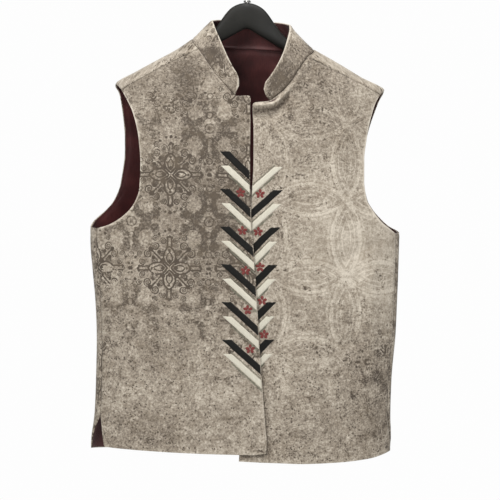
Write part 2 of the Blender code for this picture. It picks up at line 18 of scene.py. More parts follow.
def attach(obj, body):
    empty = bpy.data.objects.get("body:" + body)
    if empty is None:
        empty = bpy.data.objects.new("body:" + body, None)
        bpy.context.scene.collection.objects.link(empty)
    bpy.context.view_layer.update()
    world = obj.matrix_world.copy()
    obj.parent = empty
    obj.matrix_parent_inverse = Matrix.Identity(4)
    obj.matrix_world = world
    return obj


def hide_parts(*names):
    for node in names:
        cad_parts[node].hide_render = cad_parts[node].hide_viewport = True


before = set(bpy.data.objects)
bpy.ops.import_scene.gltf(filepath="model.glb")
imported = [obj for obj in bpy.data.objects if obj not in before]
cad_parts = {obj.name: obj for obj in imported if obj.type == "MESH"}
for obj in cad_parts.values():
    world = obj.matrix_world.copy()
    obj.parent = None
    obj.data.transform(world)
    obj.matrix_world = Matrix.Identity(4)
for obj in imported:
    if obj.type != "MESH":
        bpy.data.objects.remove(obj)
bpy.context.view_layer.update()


def tenths(*rows):
    """Rows of whole tenths of a millimetre, in metres."""
    return np.array(rows) / 10000


# Thickness of the cloth and of the lining, the gap between pieces that meet, and the space under the cloth
WALL = 0.002
LINING_WALL = 0.001
GAP = 0.0003
LINING_SLACK = 0.0017
# How far the linings end inside the cloth: at the first and last row, then at the first and last column
LINING_MARGINS = {
    "front": ((0.014, 0.0035), (0.0035, 0.0035)),
    "back": ((0.002, 0.0035), (0.0010, 0.0010)),
    "collar": ((0.0012, 0.0012), (0.0012, 0.0012)),
}
# How deep the left front lies in under the right one, and the x over which that fades
LAP_DEPTH = 0.0056
LAP_FADE = (0.045, 0.115)

# A ring round the jacket: x of its middle, exponent of its rounded shape, and its depth over its half-width
MIDDLE = 0.0045
CORNER = 2.4
RING_FLATNESS = 0.26
# Length of a quarter of it, to weigh around against height
QUARTER_LENGTH = 0.28
# The wearer's side for each sign of around and x, around of the side seams, and the slits at their feet
SIDES = {-1: "right", 1: "left"}
SIDE_SEAM = 1.095
SLIT_TOP = -0.742
SLIT_LENGTH = 0.050

# Rings: height, left and right extreme, depth of the front and of the back
RINGS = tenths(
    (-8300, -2475, 2482, 680, 460), (-7860, -2460, 2484, 680, 460), (-7370, -2417, 2478, 680, 470),
    (-6860, -2405, 2489, 680, 480), (-6060, -2417, 2550, 690, 490), (-5570, -2439, 2570, 700, 500),
    (-5080, -2478, 2588, 700, 520), (-4550, -2517, 2598, 700, 540), (-4300, -2515, 2585, 700, 550),
    (-3300, -2415, 2475, 670, 560), (-2040, -2150, 2318, 580, 520), (-1830, -1820, 1920, 560, 510),
    (-1650, -1510, 1600, 540, 490), (-1450, -1160, 1225, 500, 470), (-1300, -945, 900, 470, 450),
    (-1100, -600, 600, 440, 420), (-850, -150, 150, 400, 400),
)

# Soft folds: around at the top and at the hem end, top, bottom, half-width, height of the crest
FOLDS = (
    (-1.33, -1.24, -0.4, -0.8, 0.06, 0.003), (-1.62, -1.7, -0.3, -0.62, 0.075, 0.0022),
    (-1.45, -1.55, -0.52, -0.83, 0.07, 0.0026), (1.31, 1.22, -0.42, -0.82, 0.055, 0.0032),
    (1.52, 1.6, -0.34, -0.7, 0.08, 0.0024), (1.73, 1.68, -0.6, -0.84, 0.07, 0.0026),
    (-0.58, -0.66, -0.26, -0.8, 0.085, 0.0034), (-0.2, -0.14, -0.5, -0.83, 0.08, 0.003),
    (0.26, 0.18, -0.42, -0.83, 0.075, 0.0028), (0.62, 0.7, -0.24, -0.82, 0.085, 0.0036),
)
FOLD_SKEW = 0.8

# Edges of the fronts, as x and height
RIGHT_FRONT_EDGE = tenths(
    (352, -7925), (312, -7556), (201, -6275), (104, -4947), (34, -4131), (12, -3300), (15, -2233),
)
RIGHT_HEM = tenths((325, -7990), (126, -8012), (-337, -8002), (-1687, -7948), (-2262, -7919))
RIGHT_NECK = tenths((-242, -2252), (-380, -2091), (-540, -1913), (-684, -1699), (-827, -1471))
RIGHT_SHOULDER = tenths((-827, -1471), (-1437, -1790), (-2059, -2156))
RIGHT_ARMHOLE = tenths(
    (-2247, -4352), (-2004, -4203), (-1836, -4006), (-1754, -3760), (-1740, -3400), (-1775, -2950),
    (-1866, -2554), (-1979, -2302), (-2059, -2156),
)
LEFT_FRONT_EDGE = tenths((-106, -8122), (-35, -6000), (39, -3922), (71, -3360), (70, -2850), (46, -2342))
LEFT_HEM = tenths((-106, -8122), (355, -8148), (904, -8167), (1477, -8156), (2064, -8115), (2415, -8030))
LEFT_NECK = tenths((340, -2313), (545, -2137), (684, -1981), (797, -1796), (964, -1552))
LEFT_SHOULDER = tenths((964, -1552), (1594, -1851), (2210, -2135))
LEFT_ARMHOLE = tenths(
    (2405, -4364), (2215, -4232), (2055, -4050), (1955, -3885), (1905, -3560), (1905, -3234), (1945, -2900),
    (2012, -2580), (2068, -2405), (2130, -2250), (2210, -2135),
)

# Edges of the back, as x and height on its own side of the ridge
BACK_RIGHT_ARMHOLE = tenths(
    (-2459, -4260), (-2281, -4089), (-2151, -3919), (-2050, -3650), (-1993, -3247), (-1990, -2900),
    (-2018, -2583), (-2060, -2300), (-2107, -2135),
)
BACK_LEFT_ARMHOLE = tenths(
    (2505, -4316), (2400, -4222), (2225, -4017), (2130, -3848), (2070, -3560), (2055, -3167), (2095, -2850),
    (2150, -2600), (2225, -2350), (2290, -2159),
)
# Heights of the armholes' feet, the shoulders' tips and the neck points
UNDERARM = {"right": -0.4403, "left": -0.4425}
TIP = {"right": -0.2040, "left": -0.2040}
NECK_POINT = {"right": -0.1244, "left": -0.1355}
# How far above its foot the armhole crosses the side
UNDERARM_RISE = 0.0024
BACK_HEM = {"right": -0.7995, "middle": -0.8060, "left": -0.8030}
# Heights of the back's middle at the neck, the underarms and the tips
BACK_NECK = -0.1300
BACK_MIDDLE = {"underarm": -0.4400, "tip": -0.2060}
# How quickly the back's rows level out away from their ends
LEVELLING = 2.5
# How far the slits' edges have come away from the seam at the hem, in around. The left front's laps over it
FRONT_SLIT_OPEN = {"right": 0.050, "left": -0.040}
BACK_SLIT_OPEN = {"right": 0.100, "left": 0.070}

# Collar: its top edge in space, from the right front's corner round the neck to the left front's
COLLAR_TOP_RIGHT = tenths(
    (-180, -590, -2090), (-176, -575, -2000), (-200, -555, -1895), (-254, -525, -1800), (-327, -485, -1655),
    (-397, -425, -1490), (-462, -340, -1315), (-542, -190, -1090), (-575, -10, -940),
)
COLLAR_TOP_BACK = tenths(
    (-575, -10, -940), (-450, 200, -890), (-250, 340, -870), (70, 400, -870), (400, 350, -880),
    (610, 210, -910), (716, -10, -972),
)
COLLAR_TOP_LEFT = tenths(
    (716, -10, -972), (688, -190, -1095), (640, -310, -1250), (560, -420, -1489), (436, -500, -1746),
    (326, -540, -1916), (250, -565, -2030), (232, -590, -2130),
)
COLLAR_END_RIGHT = (-0.0220, -0.0590, -0.2190)
COLLAR_END_LEFT = (0.0262, -0.0590, -0.2235)
# How far the collar bulges, and how much of the fronts' lap its left end takes part in
COLLAR_SWELL = 0.0012
COLLAR_LAP = 0.7
# Height and size of its unevenness, and its height in the flat cut
COLLAR_WAVES = (0.0005, 0.030)
COLLAR_HEIGHT = 0.038
# Its stitched edge's height and step down, the depth and width of its pressed rim, and the puckers' size,
# height and reach
COLLAR_STITCH = (0.0004, 0.0045, 0.0065)
COLLAR_PRESS = (0.0005, 0.003)
COLLAR_PUCKER = (0.007, 0.00012, 0.006)
# How the collar's lining goes on over the neck seam: distance down from the collar, and inwards
NECK_FACING = tenths((52, 24), (40, 23), (26, 17), (12, 6))

# Hanger: distance from its middle, top, bottom, half-thickness and forward bow of a section
HANGER_SECTIONS = tenths(
    (0, -635, -1047, 75, 0), (100, -647, -1106, 75, 0), (200, -685, -1165, 78, 0),
    (300, -755, -1224, 82, 10), (380, -860, -1271, 86, 10), (460, -985, -1318, 92, 20),
    (540, -1095, -1366, 98, 20), (640, -1200, -1425, 106, 30), (800, -1312, -1519, 118, 40),
    (1100, -1492, -1696, 140, 60), (1500, -1722, -1932, 165, 80), (1800, -1894, -2109, 180, 90),
    (1930, -1982, -2183, 172, 90), (1990, -2045, -2200, 120, 90),
)
# Exponent of its rounded sections, its rings and their points, how much its rings crowd towards its ends, and
# the distance from an end over which it closes
HANGER_CORNER = 2.6
HANGER_RINGS = 241
HANGER_SIDES = 48
HANGER_CROWDING = 0.35
HANGER_END = (-0.0012, 0.006)

# Hook: its wire, the round seat with its top at the origin, the angles where that ends, the shank and how
# softly it leads into the seat, and the foot and top of its bore in the hanger
WIRE_RADIUS = 0.0019
SEAT_RADIUS = 0.0190
HOOK_TIP_ANGLE = math.radians(205)
HOOK_FOOT_ANGLE = math.radians(-48)
SHANK_TOP = -0.0500
SHANK_FOOT = -0.0760
SHANK_EASE = 0.024
BORE = (-0.0768, -0.0368)
BORE_SIDES = 32
WIRE_SIDES = 24
WIRE_STEP = 0.0012
# Rings of the wire's rounded tip, in degrees from its side to its end
TIP_RINGS = (25, 50, 70, 84)
# The collar round its foot: radius and height of the profile's corners
FERRULE = tenths((60, -604), (60, -628), (22, -628), (22, -570), (38, -570), (38, -604))
FERRULE_SIDES = 64
FERRULE_ROUND = 0.0005

# Fine grids: steps up the sides, round the armholes and along the necks, and across the pieces
SIDE_ROWS = 118
ARMHOLE_ROWS = 130
NECK_ROWS = 48
TOP_ROWS = 16
CLOSE_ROWS = 22
CLOSE_REACH = 0.036
UNDERARM_REACH = 0.160
FRONT_COLUMNS = 144
BACK_SIDE_ROWS = 100
BACK_ARMHOLE_ROWS = 68
SHOULDER_ROWS = 40
BACK_COLUMNS = 150
STRIP_COLUMNS = 8
LINING_STEP = 2
SIDE_BIAS = 0.35
UNDERARM_BIAS = 0.40
SIDE_CROWDING = 0.115
CORNER_ROUNDING = 12
COLLAR_ROWS = 16
COLLAR_FRONT_STEPS = 36
COLLAR_WRAP_STEPS = 10
COLLAR_BACK_STEPS = 54
RIM_ANGLES = (45, 90, 135)

# Creases pressed or hung into the cloth: around and height at three places, half-width, and height, which is
# below 0 for a trough
CREASES = (
    (-1.2, -0.455, -1.42, -0.49, -1.66, -0.505, 0.012, -0.0016),
    (-1.18, -0.47, -1.38, -0.515, -1.58, -0.54, 0.01, 0.0012),
    (-1.24, -0.56, -1.4, -0.575, -1.55, -0.57, 0.009, -0.0013),
    (-1.16, -0.64, -1.3, -0.66, -1.44, -0.655, 0.011, 0.0011),
    (-1.3, -0.25, -1.42, -0.32, -1.48, -0.41, 0.012, 0.0012),
    (-1.7, -0.3, -1.78, -0.38, -1.8, -0.47, 0.013, -0.001),
    (-1.62, -0.64, -1.7, -0.71, -1.74, -0.79, 0.013, 0.0012),
    (1.2, -0.45, 1.4, -0.48, 1.6, -0.52, 0.012, -0.0017),
    (1.17, -0.48, 1.34, -0.53, 1.48, -0.59, 0.011, 0.0013),
    (1.22, -0.6, 1.36, -0.625, 1.52, -0.62, 0.009, -0.0012),
    (1.34, -0.245, 1.46, -0.31, 1.5, -0.4, 0.012, 0.0013),
    (1.66, -0.33, 1.74, -0.43, 1.76, -0.54, 0.014, -0.001),
    (1.15, -0.68, 1.3, -0.72, 1.36, -0.79, 0.013, -0.0014),
    (1.56, -0.66, 1.62, -0.73, 1.64, -0.8, 0.014, 0.0013),
    (-0.85, -0.25, -0.66, -0.3, -0.4, -0.31, 0.014, -0.0016),
    (0.86, -0.255, 0.64, -0.31, 0.36, -0.325, 0.013, -0.0018),
    (-0.92, -0.47, -0.7, -0.52, -0.46, -0.54, 0.013, -0.0015),
    (0.93, -0.48, 0.72, -0.54, 0.5, -0.56, 0.014, -0.0016),
    (-0.95, -0.62, -0.74, -0.64, -0.6, -0.64, 0.01, 0.0013),
    (0.94, -0.64, 0.78, -0.665, 0.58, -0.66, 0.011, 0.0012),
    (-0.1, -0.18, -0.06, -0.26, -0.08, -0.36, 0.016, -0.0014),
    (0.14, -0.17, 0.12, -0.24, 0.16, -0.33, 0.014, 0.0012),
    (0.3, -0.6, 0.24, -0.69, 0.26, -0.79, 0.015, 0.0016),
    (-0.4, -0.64, -0.36, -0.72, -0.4, -0.795, 0.014, -0.0014),
)
# Heights over which the evenly hanging cloth below the shoulders becomes uneven, and how upright that runs
UNEVEN_FROM = (-0.19, -0.26)
UPRIGHT = (1, 1, 0.55)
# Points closer than this are one
MERGED_WITHIN = 2e-5
# Size and height of the cloth's unevenness
UNDULATION = ((0.085, 0.0011), (0.034, 0.00035))
# Puckers beside the edges: size, height, and how far in they reach
PUCKER = (0.008, 0.00030, 0.009)
# The turned edge: height, width, half the width of its step, and how deep and how wide its rim is pressed
TURNED_EDGE = 0.00035
TURNED_WIDTH = 0.0085
TURNED_STEP = 0.0015
EDGE_PRESS = 0.00045
EDGE_PRESS_WIDTH = 0.0035
# The lining's edge turns up by this much, and the rest lies uneven: size and depth, and where that starts
LINING_TUCK = 0.0011
LINING_TUCK_REACH = (0.001, 0.010)
LINING_WAVES = (0.014, 0.0004)
LINING_WAVES_FROM = (0.004, 0.012)

# The roll of cloth below the collar seam: distance from the neck edge, half-width on the near and on the far
# side, height
NECK_ROLL = {
    "left": ((0.0046, 0.0042, 0.0040, 0.0068), (0.0128, 0.0040, 0.0130, -0.0060)),
    "right": ((0.0060, 0.0036, 0.0036, 0.0010), (0.0150, 0.0050, 0.0090, -0.0008)),
}
# How far from the neck it may lie, the x over which it ends, and how it starts at the collar's end
NECK_ROLL_REACH = 0.13
NECK_ROLL_FADE = (0.052, 0.074)
NECK_ROLL_START = (-0.003, 0.006)
# Shade painted into the roll's trough and a highlight painted on its ridge: distance, half-width, darkening
ROLL_PAINTED_SHADE_AND_HIGHLIGHT = ((0.0128, 0.0042, 0.74), (0.0042, 0.0034, -0.42))
# Painted shadow on the left front beside the right one's edge and below its hem: reach, darkening
LAP_PAINTED_SHADOW = (0.0050, 0.42)
HEM_PAINTED_SHADOW = (0.0070, 0.60)
# Painted highlight along the free rims, where the turned edge catches the light: how much, and how far it
# reaches in. It is plainest on the fronts' armholes, and dull at the left end of the collar
RIM_PAINTED_HIGHLIGHT = 1.15
RIM_REACH = 0.0026
HIGHLIT_ARMHOLE = {"height": (-0.475, -0.450), "x": (0.05, 0.08)}
COLLAR_CORNER = {"x": (0.0, 0.01), "height": (-0.212, -0.195)}
# The darker seams: how much, and how far they reach in. The right neck seam is cleaner, between these x
SEAM_DARK = 0.26
SEAM_REACH = (0.0060, 0.0100)
CLEAN_NECK = ((-0.11, -0.09), (-0.02, 0.0))
# The back's print: heights over which its place across goes over to plain x, the height above which it runs
# up towards the shoulders, and the length a metre forward takes up there, on the back and on the strips
STRAIGHTENING = (-0.42, -0.225)
SHOULDER_TURN = -0.26
BACK_LEAN = 0.5
STRIP_LEAN = 0.4
# The highest and lowest place of the shoulder ridges
RIDGE_HEIGHTS = (-0.12, -0.22)
# Share of a shoulder strip over which its outer end is drawn straight
STRIP_END = 0.3


def stacked(*values):
    """The values side by side in a last axis."""
    return np.stack(np.broadcast_arrays(*values), axis=-1)


def smooth(at, stations, values):
    """Values on a smooth curve through the stations, which overshoots none of them."""
    stations = np.asarray(stations, float)
    values = np.asarray(values, float)
    widths = np.diff(stations)
    steps = np.diff(values) / widths
    slopes = np.concatenate([steps[:1], np.zeros(len(steps) - 1), steps[-1:]])
    turns = steps[:-1] * steps[1:]
    level = turns > 0
    slopes[1:-1][level] = 2 * turns[level] / (steps[:-1] + steps[1:])[level]
    at = np.clip(at, stations[0], stations[-1])
    cell = np.clip(np.searchsorted(stations, at, side="right") - 1, 0, len(steps) - 1)
    t = (at - stations[cell]) / widths[cell]
    start = (1 + 2 * t) * (1 - t) ** 2 * values[cell] + t * (1 - t) ** 2 * widths[cell] * slopes[cell]
    end = t**2 * (3 - 2 * t) * values[cell + 1] - t**2 * (1 - t) * widths[cell] * slopes[cell + 1]
    return start + end


RING_ANGLES = np.linspace(0, math.pi / 2, 1201)
RING_SPAN = np.sin(RING_ANGLES) ** (2 / CORNER)
RING_DEPTH = np.abs(np.cos(RING_ANGLES)) ** (2 / CORNER)
RING_STEPS = np.hypot(np.diff(RING_SPAN), RING_FLATNESS * np.diff(RING_DEPTH))
RING_LENGTHS = np.concatenate([[0], np.cumsum(RING_STEPS)])
RING_SHARES = RING_LENGTHS / RING_LENGTHS[-1]
HEIGHTS, LEFT_EXTREMES, RIGHT_EXTREMES, FRONT_DEPTHS, BACK_DEPTHS = RINGS.T


def half_widths(height):
    """How far the face reaches to -X and to +X of its middle."""
    left = MIDDLE - smooth(height, HEIGHTS, LEFT_EXTREMES)
    right = smooth(height, HEIGHTS, RIGHT_EXTREMES) - MIDDLE
    return left, right


def body(around, height):
    """Points of the jacket's smooth face."""
    around = (np.asarray(around, float) + 2) % 4 - 2
    height = np.asarray(height, float)
    share = np.abs(around)
    in_front = share > 1
    angle = np.interp(np.where(in_front, 2 - share, share), RING_SHARES, RING_ANGLES)
    span = np.sin(angle) ** (2 / CORNER)
    depth = np.abs(np.cos(angle)) ** (2 / CORNER)
    left, right = half_widths(height)
    front = -smooth(height, HEIGHTS, FRONT_DEPTHS)
    back = smooth(height, HEIGHTS, BACK_DEPTHS)
    x = MIDDLE + span * np.where(around < 0, -left, right)
    return stacked(x, depth * np.where(in_front, front, back), height)


def around_at(x, height, in_front, side):
    """The around of a point with this x. Side is -1 for the pieces on -X and 1 for those on +X."""
    left, right = half_widths(height)
    span = np.clip(np.where(x < MIDDLE, (MIDDLE - x) / left, (x - MIDDLE) / right), 0, 1)
    share = np.interp(np.arcsin(span ** (CORNER / 2)), RING_ANGLES, RING_SHARES)
    if in_front:
        crossed = (x < MIDDLE) != (side < 0)
        return side * np.where(crossed, 2 + share, 2 - share)
    return side * share


def outward(around, height):
    """Unit normals of the smooth face."""
    step = 0.0015
    along = body(around + step, height) - body(around - step, height)
    up = body(around, height + step) - body(around, height - step)
    return unit(np.cross(up, along))


def unit(vectors):
    """The vectors' directions."""
    return vectors / np.maximum(np.linalg.norm(vectors, axis=-1, keepdims=True), 1e-12)


def ease(value, low, high):
    """0 below low, 1 above high and a smooth step between them."""
    t = np.clip((value - low) / (high - low), 0, 1)
    return t * t * (3 - 2 * t)


def ridge_at(x):
    """The height of the shoulder ridge at this x."""
    heights = np.linspace(*RIDGE_HEIGHTS, 50)
    left, right = half_widths(heights)
    return np.where(x < MIDDLE, np.interp(MIDDLE - x, left, heights), np.interp(x - MIDDLE, right, heights))


def cut_place(around, height, piece):
    """Where a place lies in the piece's flat cloth, in metres from the middle of the front or of the back."""
    around = (around + 2) % 4 - 2
    share = np.abs(around)
    left, right = half_widths(height)
    quarter = np.where(around < 0, left, right) * RING_LENGTHS[-1]
    across = (share if piece == "back" else 2 - share) * quarter * np.sign(around)
    if piece != "back":
        return stacked(across, height)
    x, y, _ = np.moveaxis(body(around, height), -1, 0)
    across = across + (x - MIDDLE - across) * ease(height, *STRAIGHTENING)
    turn = np.full_like(height, SHOULDER_TURN)
    below = body(around_at(x, turn, False, np.sign(x - MIDDLE)), turn)[..., 1]
    behind = height + BACK_LEAN * (below - y)
    in_front = 2 * ridge_at(x) - height + BACK_LEAN * below - STRIP_LEAN * y
    along = np.where(height > SHOULDER_TURN, np.where(share > 1, in_front, behind), height)
    return stacked(across, along)


def hashed(cell, seed):
    """A random value from 0 to 1 for each cell."""
    value = np.sin(cell @ np.array([127.1, 311.7, 74.7]) + seed * 53.3) * 43758.5453
    return value - np.floor(value)


def noise(points, size, seed=0):
    """Smooth noise from -1 to 1 with bumps of this size."""
    at = points / size
    cell = np.floor(at)
    t = at - cell
    t = t * t * (3 - 2 * t)
    total = 0
    for corner in np.ndindex(2, 2, 2):
        corner = np.array(corner)
        weight = np.prod(np.where(corner, t, 1 - t), axis=-1)
        total = total + weight * hashed(cell + corner, seed)
    return 2 * total - 1


def path(points, count):
    """Points on a curve through three or more places, evenly in their own parameter."""
    points = np.array(points, float)
    at = np.linspace(0, 1, len(points))
    return stacked(*(smooth(np.linspace(0, 1, count), at, column) for column in points.T))


def relief(around, height):
    """How far the folds, creases and unevenness of the hanging cloth lift the face."""
    lift = np.zeros(np.shape(around))
    for top_around, foot_around, top, foot, width, crest in FOLDS:
        along = np.clip((top - height) / (top - foot), 0, 1)
        centre = top_around + (foot_around - top_around) * along
        lift += crest * np.sin(math.pi * along**FOLD_SKEW) * np.exp(-(((around - centre) / width) ** 2))
    points = body(around, height)
    for *places, width, crest in CREASES:
        course = body(*path(np.reshape(places, (3, 2)), 33).T)
        reach = 4 * width
        low, high = course.min(axis=0) - reach, course.max(axis=0) + reach
        near = np.all((points > low) & (points < high), axis=-1)
        if not near.any():
            continue
        gaps = np.linalg.norm(points[near][:, None] - course[None], axis=-1)
        nearest = gaps.argmin(axis=1)
        along = nearest / (len(course) - 1)
        swell = np.sin(math.pi * along) ** 0.7 * width * (0.75 + 0.5 * along)
        shape = np.exp(-((gaps.min(axis=1) / np.maximum(swell, width * 0.45)) ** 2))
        lift[near] += crest * np.sin(math.pi * along) ** 0.8 * shape
    uneven = 1 - ease(height, *UNEVEN_FROM[::-1])
    for seed, (size, swing) in enumerate(UNDULATION):
        lift += swing * noise(points * UPRIGHT, size, seed) * uneven
    return lift


def lap(around, height):
    """How far the left front's edge lies in under the right front's."""
    x = body(around, height)[..., 0]
    near, far = LAP_FADE
    return LAP_DEPTH * ease(far - x, 0, far - near)


def opening_at(z):
    """x of the right front's edge at this height."""
    edge = np.array(RIGHT_FRONT_EDGE[::-1])
    return smooth(-z, -edge[:, 1], edge[:, 0])


def travelled(points):
    """The distance along each line of points from its first to every one of them."""
    steps = np.linalg.norm(np.diff(points, axis=0), axis=-1)
    return np.concatenate([np.zeros((1, *steps.shape[1:])), np.cumsum(steps, axis=0)])


def line(points, count, bias=0.0, stations=()):
    """Points on a smooth curve through the given ones.

    They lie closer towards its end, or at the stations' steps these distances from it.
    """
    points = np.array(points, float)
    travel = travelled(points)
    at = travel[-1] * shares(count, bias)
    if stations:
        steps, reaches = np.array([(0, travel[-1]), *stations, (count, 0)]).T
        at = travel[-1] - np.interp(np.arange(count + 1), steps, reaches)
    return stacked(*(smooth(at, travel, column) for column in points.T))


def shares(count, bias):
    """Steps from 0 to 1 that a bias above 0 sets closer towards 1."""
    even = np.linspace(0, 1, count + 1)
    return 1 - (1 - even) ** (1 + bias)


def joined(*lines):
    """Lines end to end, without their shared points."""
    return np.concatenate([lines[0]] + [each[1:] for each in lines[1:]])


def rounded(points, times):
    """The line with its corners worn round and its ends kept."""
    points = points.copy()
    for _ in range(times):
        points[1:-1] += (points[:-2] + points[2:] - 2 * points[1:-1]) * 0.25
    return points


def filled(bottom, top, left, right, bias=0.0):
    """A grid of rows between four edges that meet at the corners."""
    u = shares(len(bottom) - 1, bias)[None, :, None]
    v = np.linspace(0, 1, len(left))[:, None, None]
    across = (1 - u) * left[:, None] + u * right[:, None]
    upward = (1 - v) * bottom[None] + v * top[None]
    corners = (1 - v) * ((1 - u) * bottom[0] + u * bottom[-1]) + v * ((1 - u) * top[0] + u * top[-1])
    return across + upward - corners


def on_front(points, side):
    """Places (around, height) of points of a front given as x and height."""
    x, height = points[..., 0], points[..., 1]
    return stacked(around_at(x, height, True, side), height)


def slit_edge(name, foot, rows, openings):
    """Heights up a side seam, and how far the slit at its foot has opened at each of them."""
    heights = np.linspace(foot, UNDERARM[name], rows + 1)
    return heights, np.maximum((SLIT_TOP - heights) / SLIT_LENGTH, 0) * openings[name]


def front_grid(side, edge, hem, neck, shoulder, armhole, step=1):
    """The (around, height) grid of a front. Its rows run from the front edge to the side."""
    counts = SIDE_ROWS, ARMHOLE_ROWS, NECK_ROWS, TOP_ROWS, CLOSE_ROWS, FRONT_COLUMNS
    side_rows, armhole_rows, neck_rows, top_rows, close_rows, columns = (count // step for count in counts)
    heights, opened = slit_edge(SIDES[side], hem[-1][1], side_rows, FRONT_SLIT_OPEN)
    seam_around = side * (SIDE_SEAM + GAP + opened)
    seam = body(seam_around, heights)[:, [0, 2]]
    side_edge = joined(seam, line([seam[-1], *armhole], armhole_rows))
    count = side_rows + armhole_rows - neck_rows - top_rows
    straight = line(edge, count, stations=((side_rows, UNDERARM_REACH), (count - close_rows, CLOSE_REACH)))
    if side < 0:
        straight[0] = hem[0]
    inner_edge = joined(straight, line([edge[-1], neck[0]], top_rows), line(neck, neck_rows))
    inner_edge = rounded(inner_edge, CORNER_ROUNDING)
    shoulder_line = line(shoulder, columns, SIDE_BIAS) - (0, GAP)
    inner_edge[-1] = shoulder_line[0]
    side_edge[-1] = shoulder_line[-1]
    bottom = line([straight[0], *hem[1:-1], seam[0]], columns, SIDE_BIAS)
    grid = filled(bottom, shoulder_line, inner_edge, side_edge, SIDE_BIAS)
    places = on_front(grid, side)
    places[: side_rows + 1, -1, 0] = seam_around
    return places


def back_edge(side, armhole, side_rows, armhole_rows, shoulder_rows):
    """The back's edge from the hem up its side, round its armhole and along its shoulder ridge."""
    name = SIDES[side]
    heights, opened = slit_edge(name, BACK_HEM[name], side_rows, BACK_SLIT_OPEN)
    seam = stacked(side * (SIDE_SEAM - opened), heights)
    extreme = (side, UNDERARM[name] + UNDERARM_RISE)
    rise = [(float(around_at(x, z, False, side)), z) for x, z in armhole]
    scale = np.array([QUARTER_LENGTH, 1.0])
    outline = np.array([seam[-1], extreme, *rise, (side, TIP[name])]) * scale
    hole = line(outline[::-1], armhole_rows, UNDERARM_BIAS)[::-1] / scale
    return joined(seam, hole, shoulder_ridge(side, shoulder_rows))


def shoulder_ridge(side, rows):
    """The line from a shoulder's tip to the neck."""
    return np.linspace((side, TIP[SIDES[side]]), (side, NECK_POINT[SIDES[side]]), rows + 1)


def levelled(left, middle, right, u):
    """Heights along a row that starts at its left end's, levels out and ends at its right end's."""
    near_left = np.clip(1 - 2 * u, 0, 1) ** LEVELLING
    near_right = np.clip(2 * u - 1, 0, 1) ** LEVELLING
    return middle + (left - middle) * near_left + (right - middle) * near_right


def back_grid(step=1):
    """The (around, height) grid of the back up to its shoulder ridges. Its rows run from -X to +X."""
    counts = BACK_SIDE_ROWS // step, BACK_ARMHOLE_ROWS // step, SHOULDER_ROWS // step
    left = back_edge(-1, BACK_RIGHT_ARMHOLE, *counts)
    right = back_edge(1, BACK_LEFT_ARMHOLE, *counts)
    levels = (BACK_HEM["middle"], BACK_MIDDLE["underarm"], BACK_MIDDLE["tip"], BACK_NECK)
    stretches = [np.linspace(low, high, count + 1) for low, high, count in zip(levels, levels[1:], counts)]
    middle = joined(*stretches)[:, None]
    u = np.linspace(0, 1, BACK_COLUMNS // step + 1)
    u = (u - SIDE_CROWDING * np.sin(2 * math.pi * u))[None]
    height = levelled(left[:, 1:], middle, right[:, 1:], u)
    around = left[:, :1] * (1 - u) + right[:, :1] * u
    return stacked(around, height)


def shoulder_strip(side, shoulder):
    """The grid that wraps from a shoulder ridge forward to the shoulder seam."""
    ridge = shoulder_ridge(side, SHOULDER_ROWS)
    seam = on_front(line(shoulder[::-1], SHOULDER_ROWS), side)
    u = np.linspace(0, 1, STRIP_COLUMNS + 1)[None, :, None]
    grid = ridge[:, None] * (1 - u) + seam[:, None] * u
    x = on_face(grid[0])[:, 0]
    straight = around_at(x[0] + (x[-1] - x[0]) * u[0, :, 0], grid[0, :, 1], True, side)
    end = 1 - ease(np.arange(SHOULDER_ROWS + 1), 0, SHOULDER_ROWS * STRIP_END)
    grid[..., 0] += (straight - grid[0, :, 0]) * end[:, None]
    return grid


def on_face(places):
    """Points of the smooth face at these places (around, height)."""
    return body(places[..., 0], places[..., 1])


def drawn_in(grid, margins, points_of=np.asarray):
    """The grid with its borders moved in by the margins, and the rest spread to follow."""
    for axis, (first, last) in enumerate(margins):
        turned = np.moveaxis(grid, axis, 0)
        travel = travelled(points_of(turned))
        wanted = first + travel * (travel[-1] - first - last) / travel[-1]
        moved = np.empty_like(turned)
        for k, c in np.ndindex(turned.shape[1:]):
            moved[:, k, c] = np.interp(wanted[:, k], travel[:, k], turned[:, k, c])
        grid = np.moveaxis(moved, 0, axis)
    return grid


def grid_faces(rows, columns):
    """Four-cornered faces between the points of a grid, which are numbered row by row."""
    index = np.arange(rows * columns).reshape(rows, columns)
    corners = index[:-1, :-1], index[:-1, 1:], index[1:, 1:], index[1:, :-1]
    return np.stack(corners, axis=-1).reshape(-1, 4)


def outline_of(faces, count):
    """The directed edges that only one face has."""
    edges = np.concatenate([faces[:, [k, (k + 1) % 4]] for k in range(4)])
    codes, back_codes = edges[:, 0] * count + edges[:, 1], edges[:, 1] * count + edges[:, 0]
    return edges[~np.isin(back_codes, codes)]


def distance_to(points, targets):
    """The distance from each of the points to the nearest target."""
    tree = KDTree(len(targets))
    for k, place in enumerate(targets):
        tree.insert(place, k)
    tree.balance()
    return np.array([tree.find(place)[2] for place in points])


def dark_seams_and_painted_highlight(name, points, rim_points, distance):
    """How much darker the cloth is along its seams, and the highlight painted paler along its free edges."""
    shade = np.zeros(len(points))
    sewn = 1 - ease(distance_to(points[rim_points], seam_places()), *SEAM_REACH)
    x = points[rim_points][:, 0]
    clean = ease(x, *CLEAN_NECK[0]) * (1 - ease(x, *CLEAN_NECK[1]))
    shade[rim_points] += SEAM_DARK * sewn * (1 - 0.8 * clean)
    beside = distance < 3 * RIM_REACH
    free = ease(distance_to(points[beside], seam_places()), *SEAM_REACH)
    x, z = points[beside][:, 0], points[beside][:, 2]
    if "collar" in name:
        free *= 1 - 0.6 * ease(x, *COLLAR_CORNER["x"]) * (1 - ease(z, *COLLAR_CORNER["height"]))
    elif name == "back_cloth":
        free *= 0.1
    else:
        free *= 0.2 + 0.8 * ease(z, *HIGHLIT_ARMHOLE["height"]) * ease(np.abs(x), *HIGHLIT_ARMHOLE["x"])
    # Painted highlight: paler near the free rims, where the turned edge catches the light
    shade[beside] -= RIM_PAINTED_HIGHLIGHT * free * np.exp(-((distance[beside] / RIM_REACH) ** 2))
    return shade


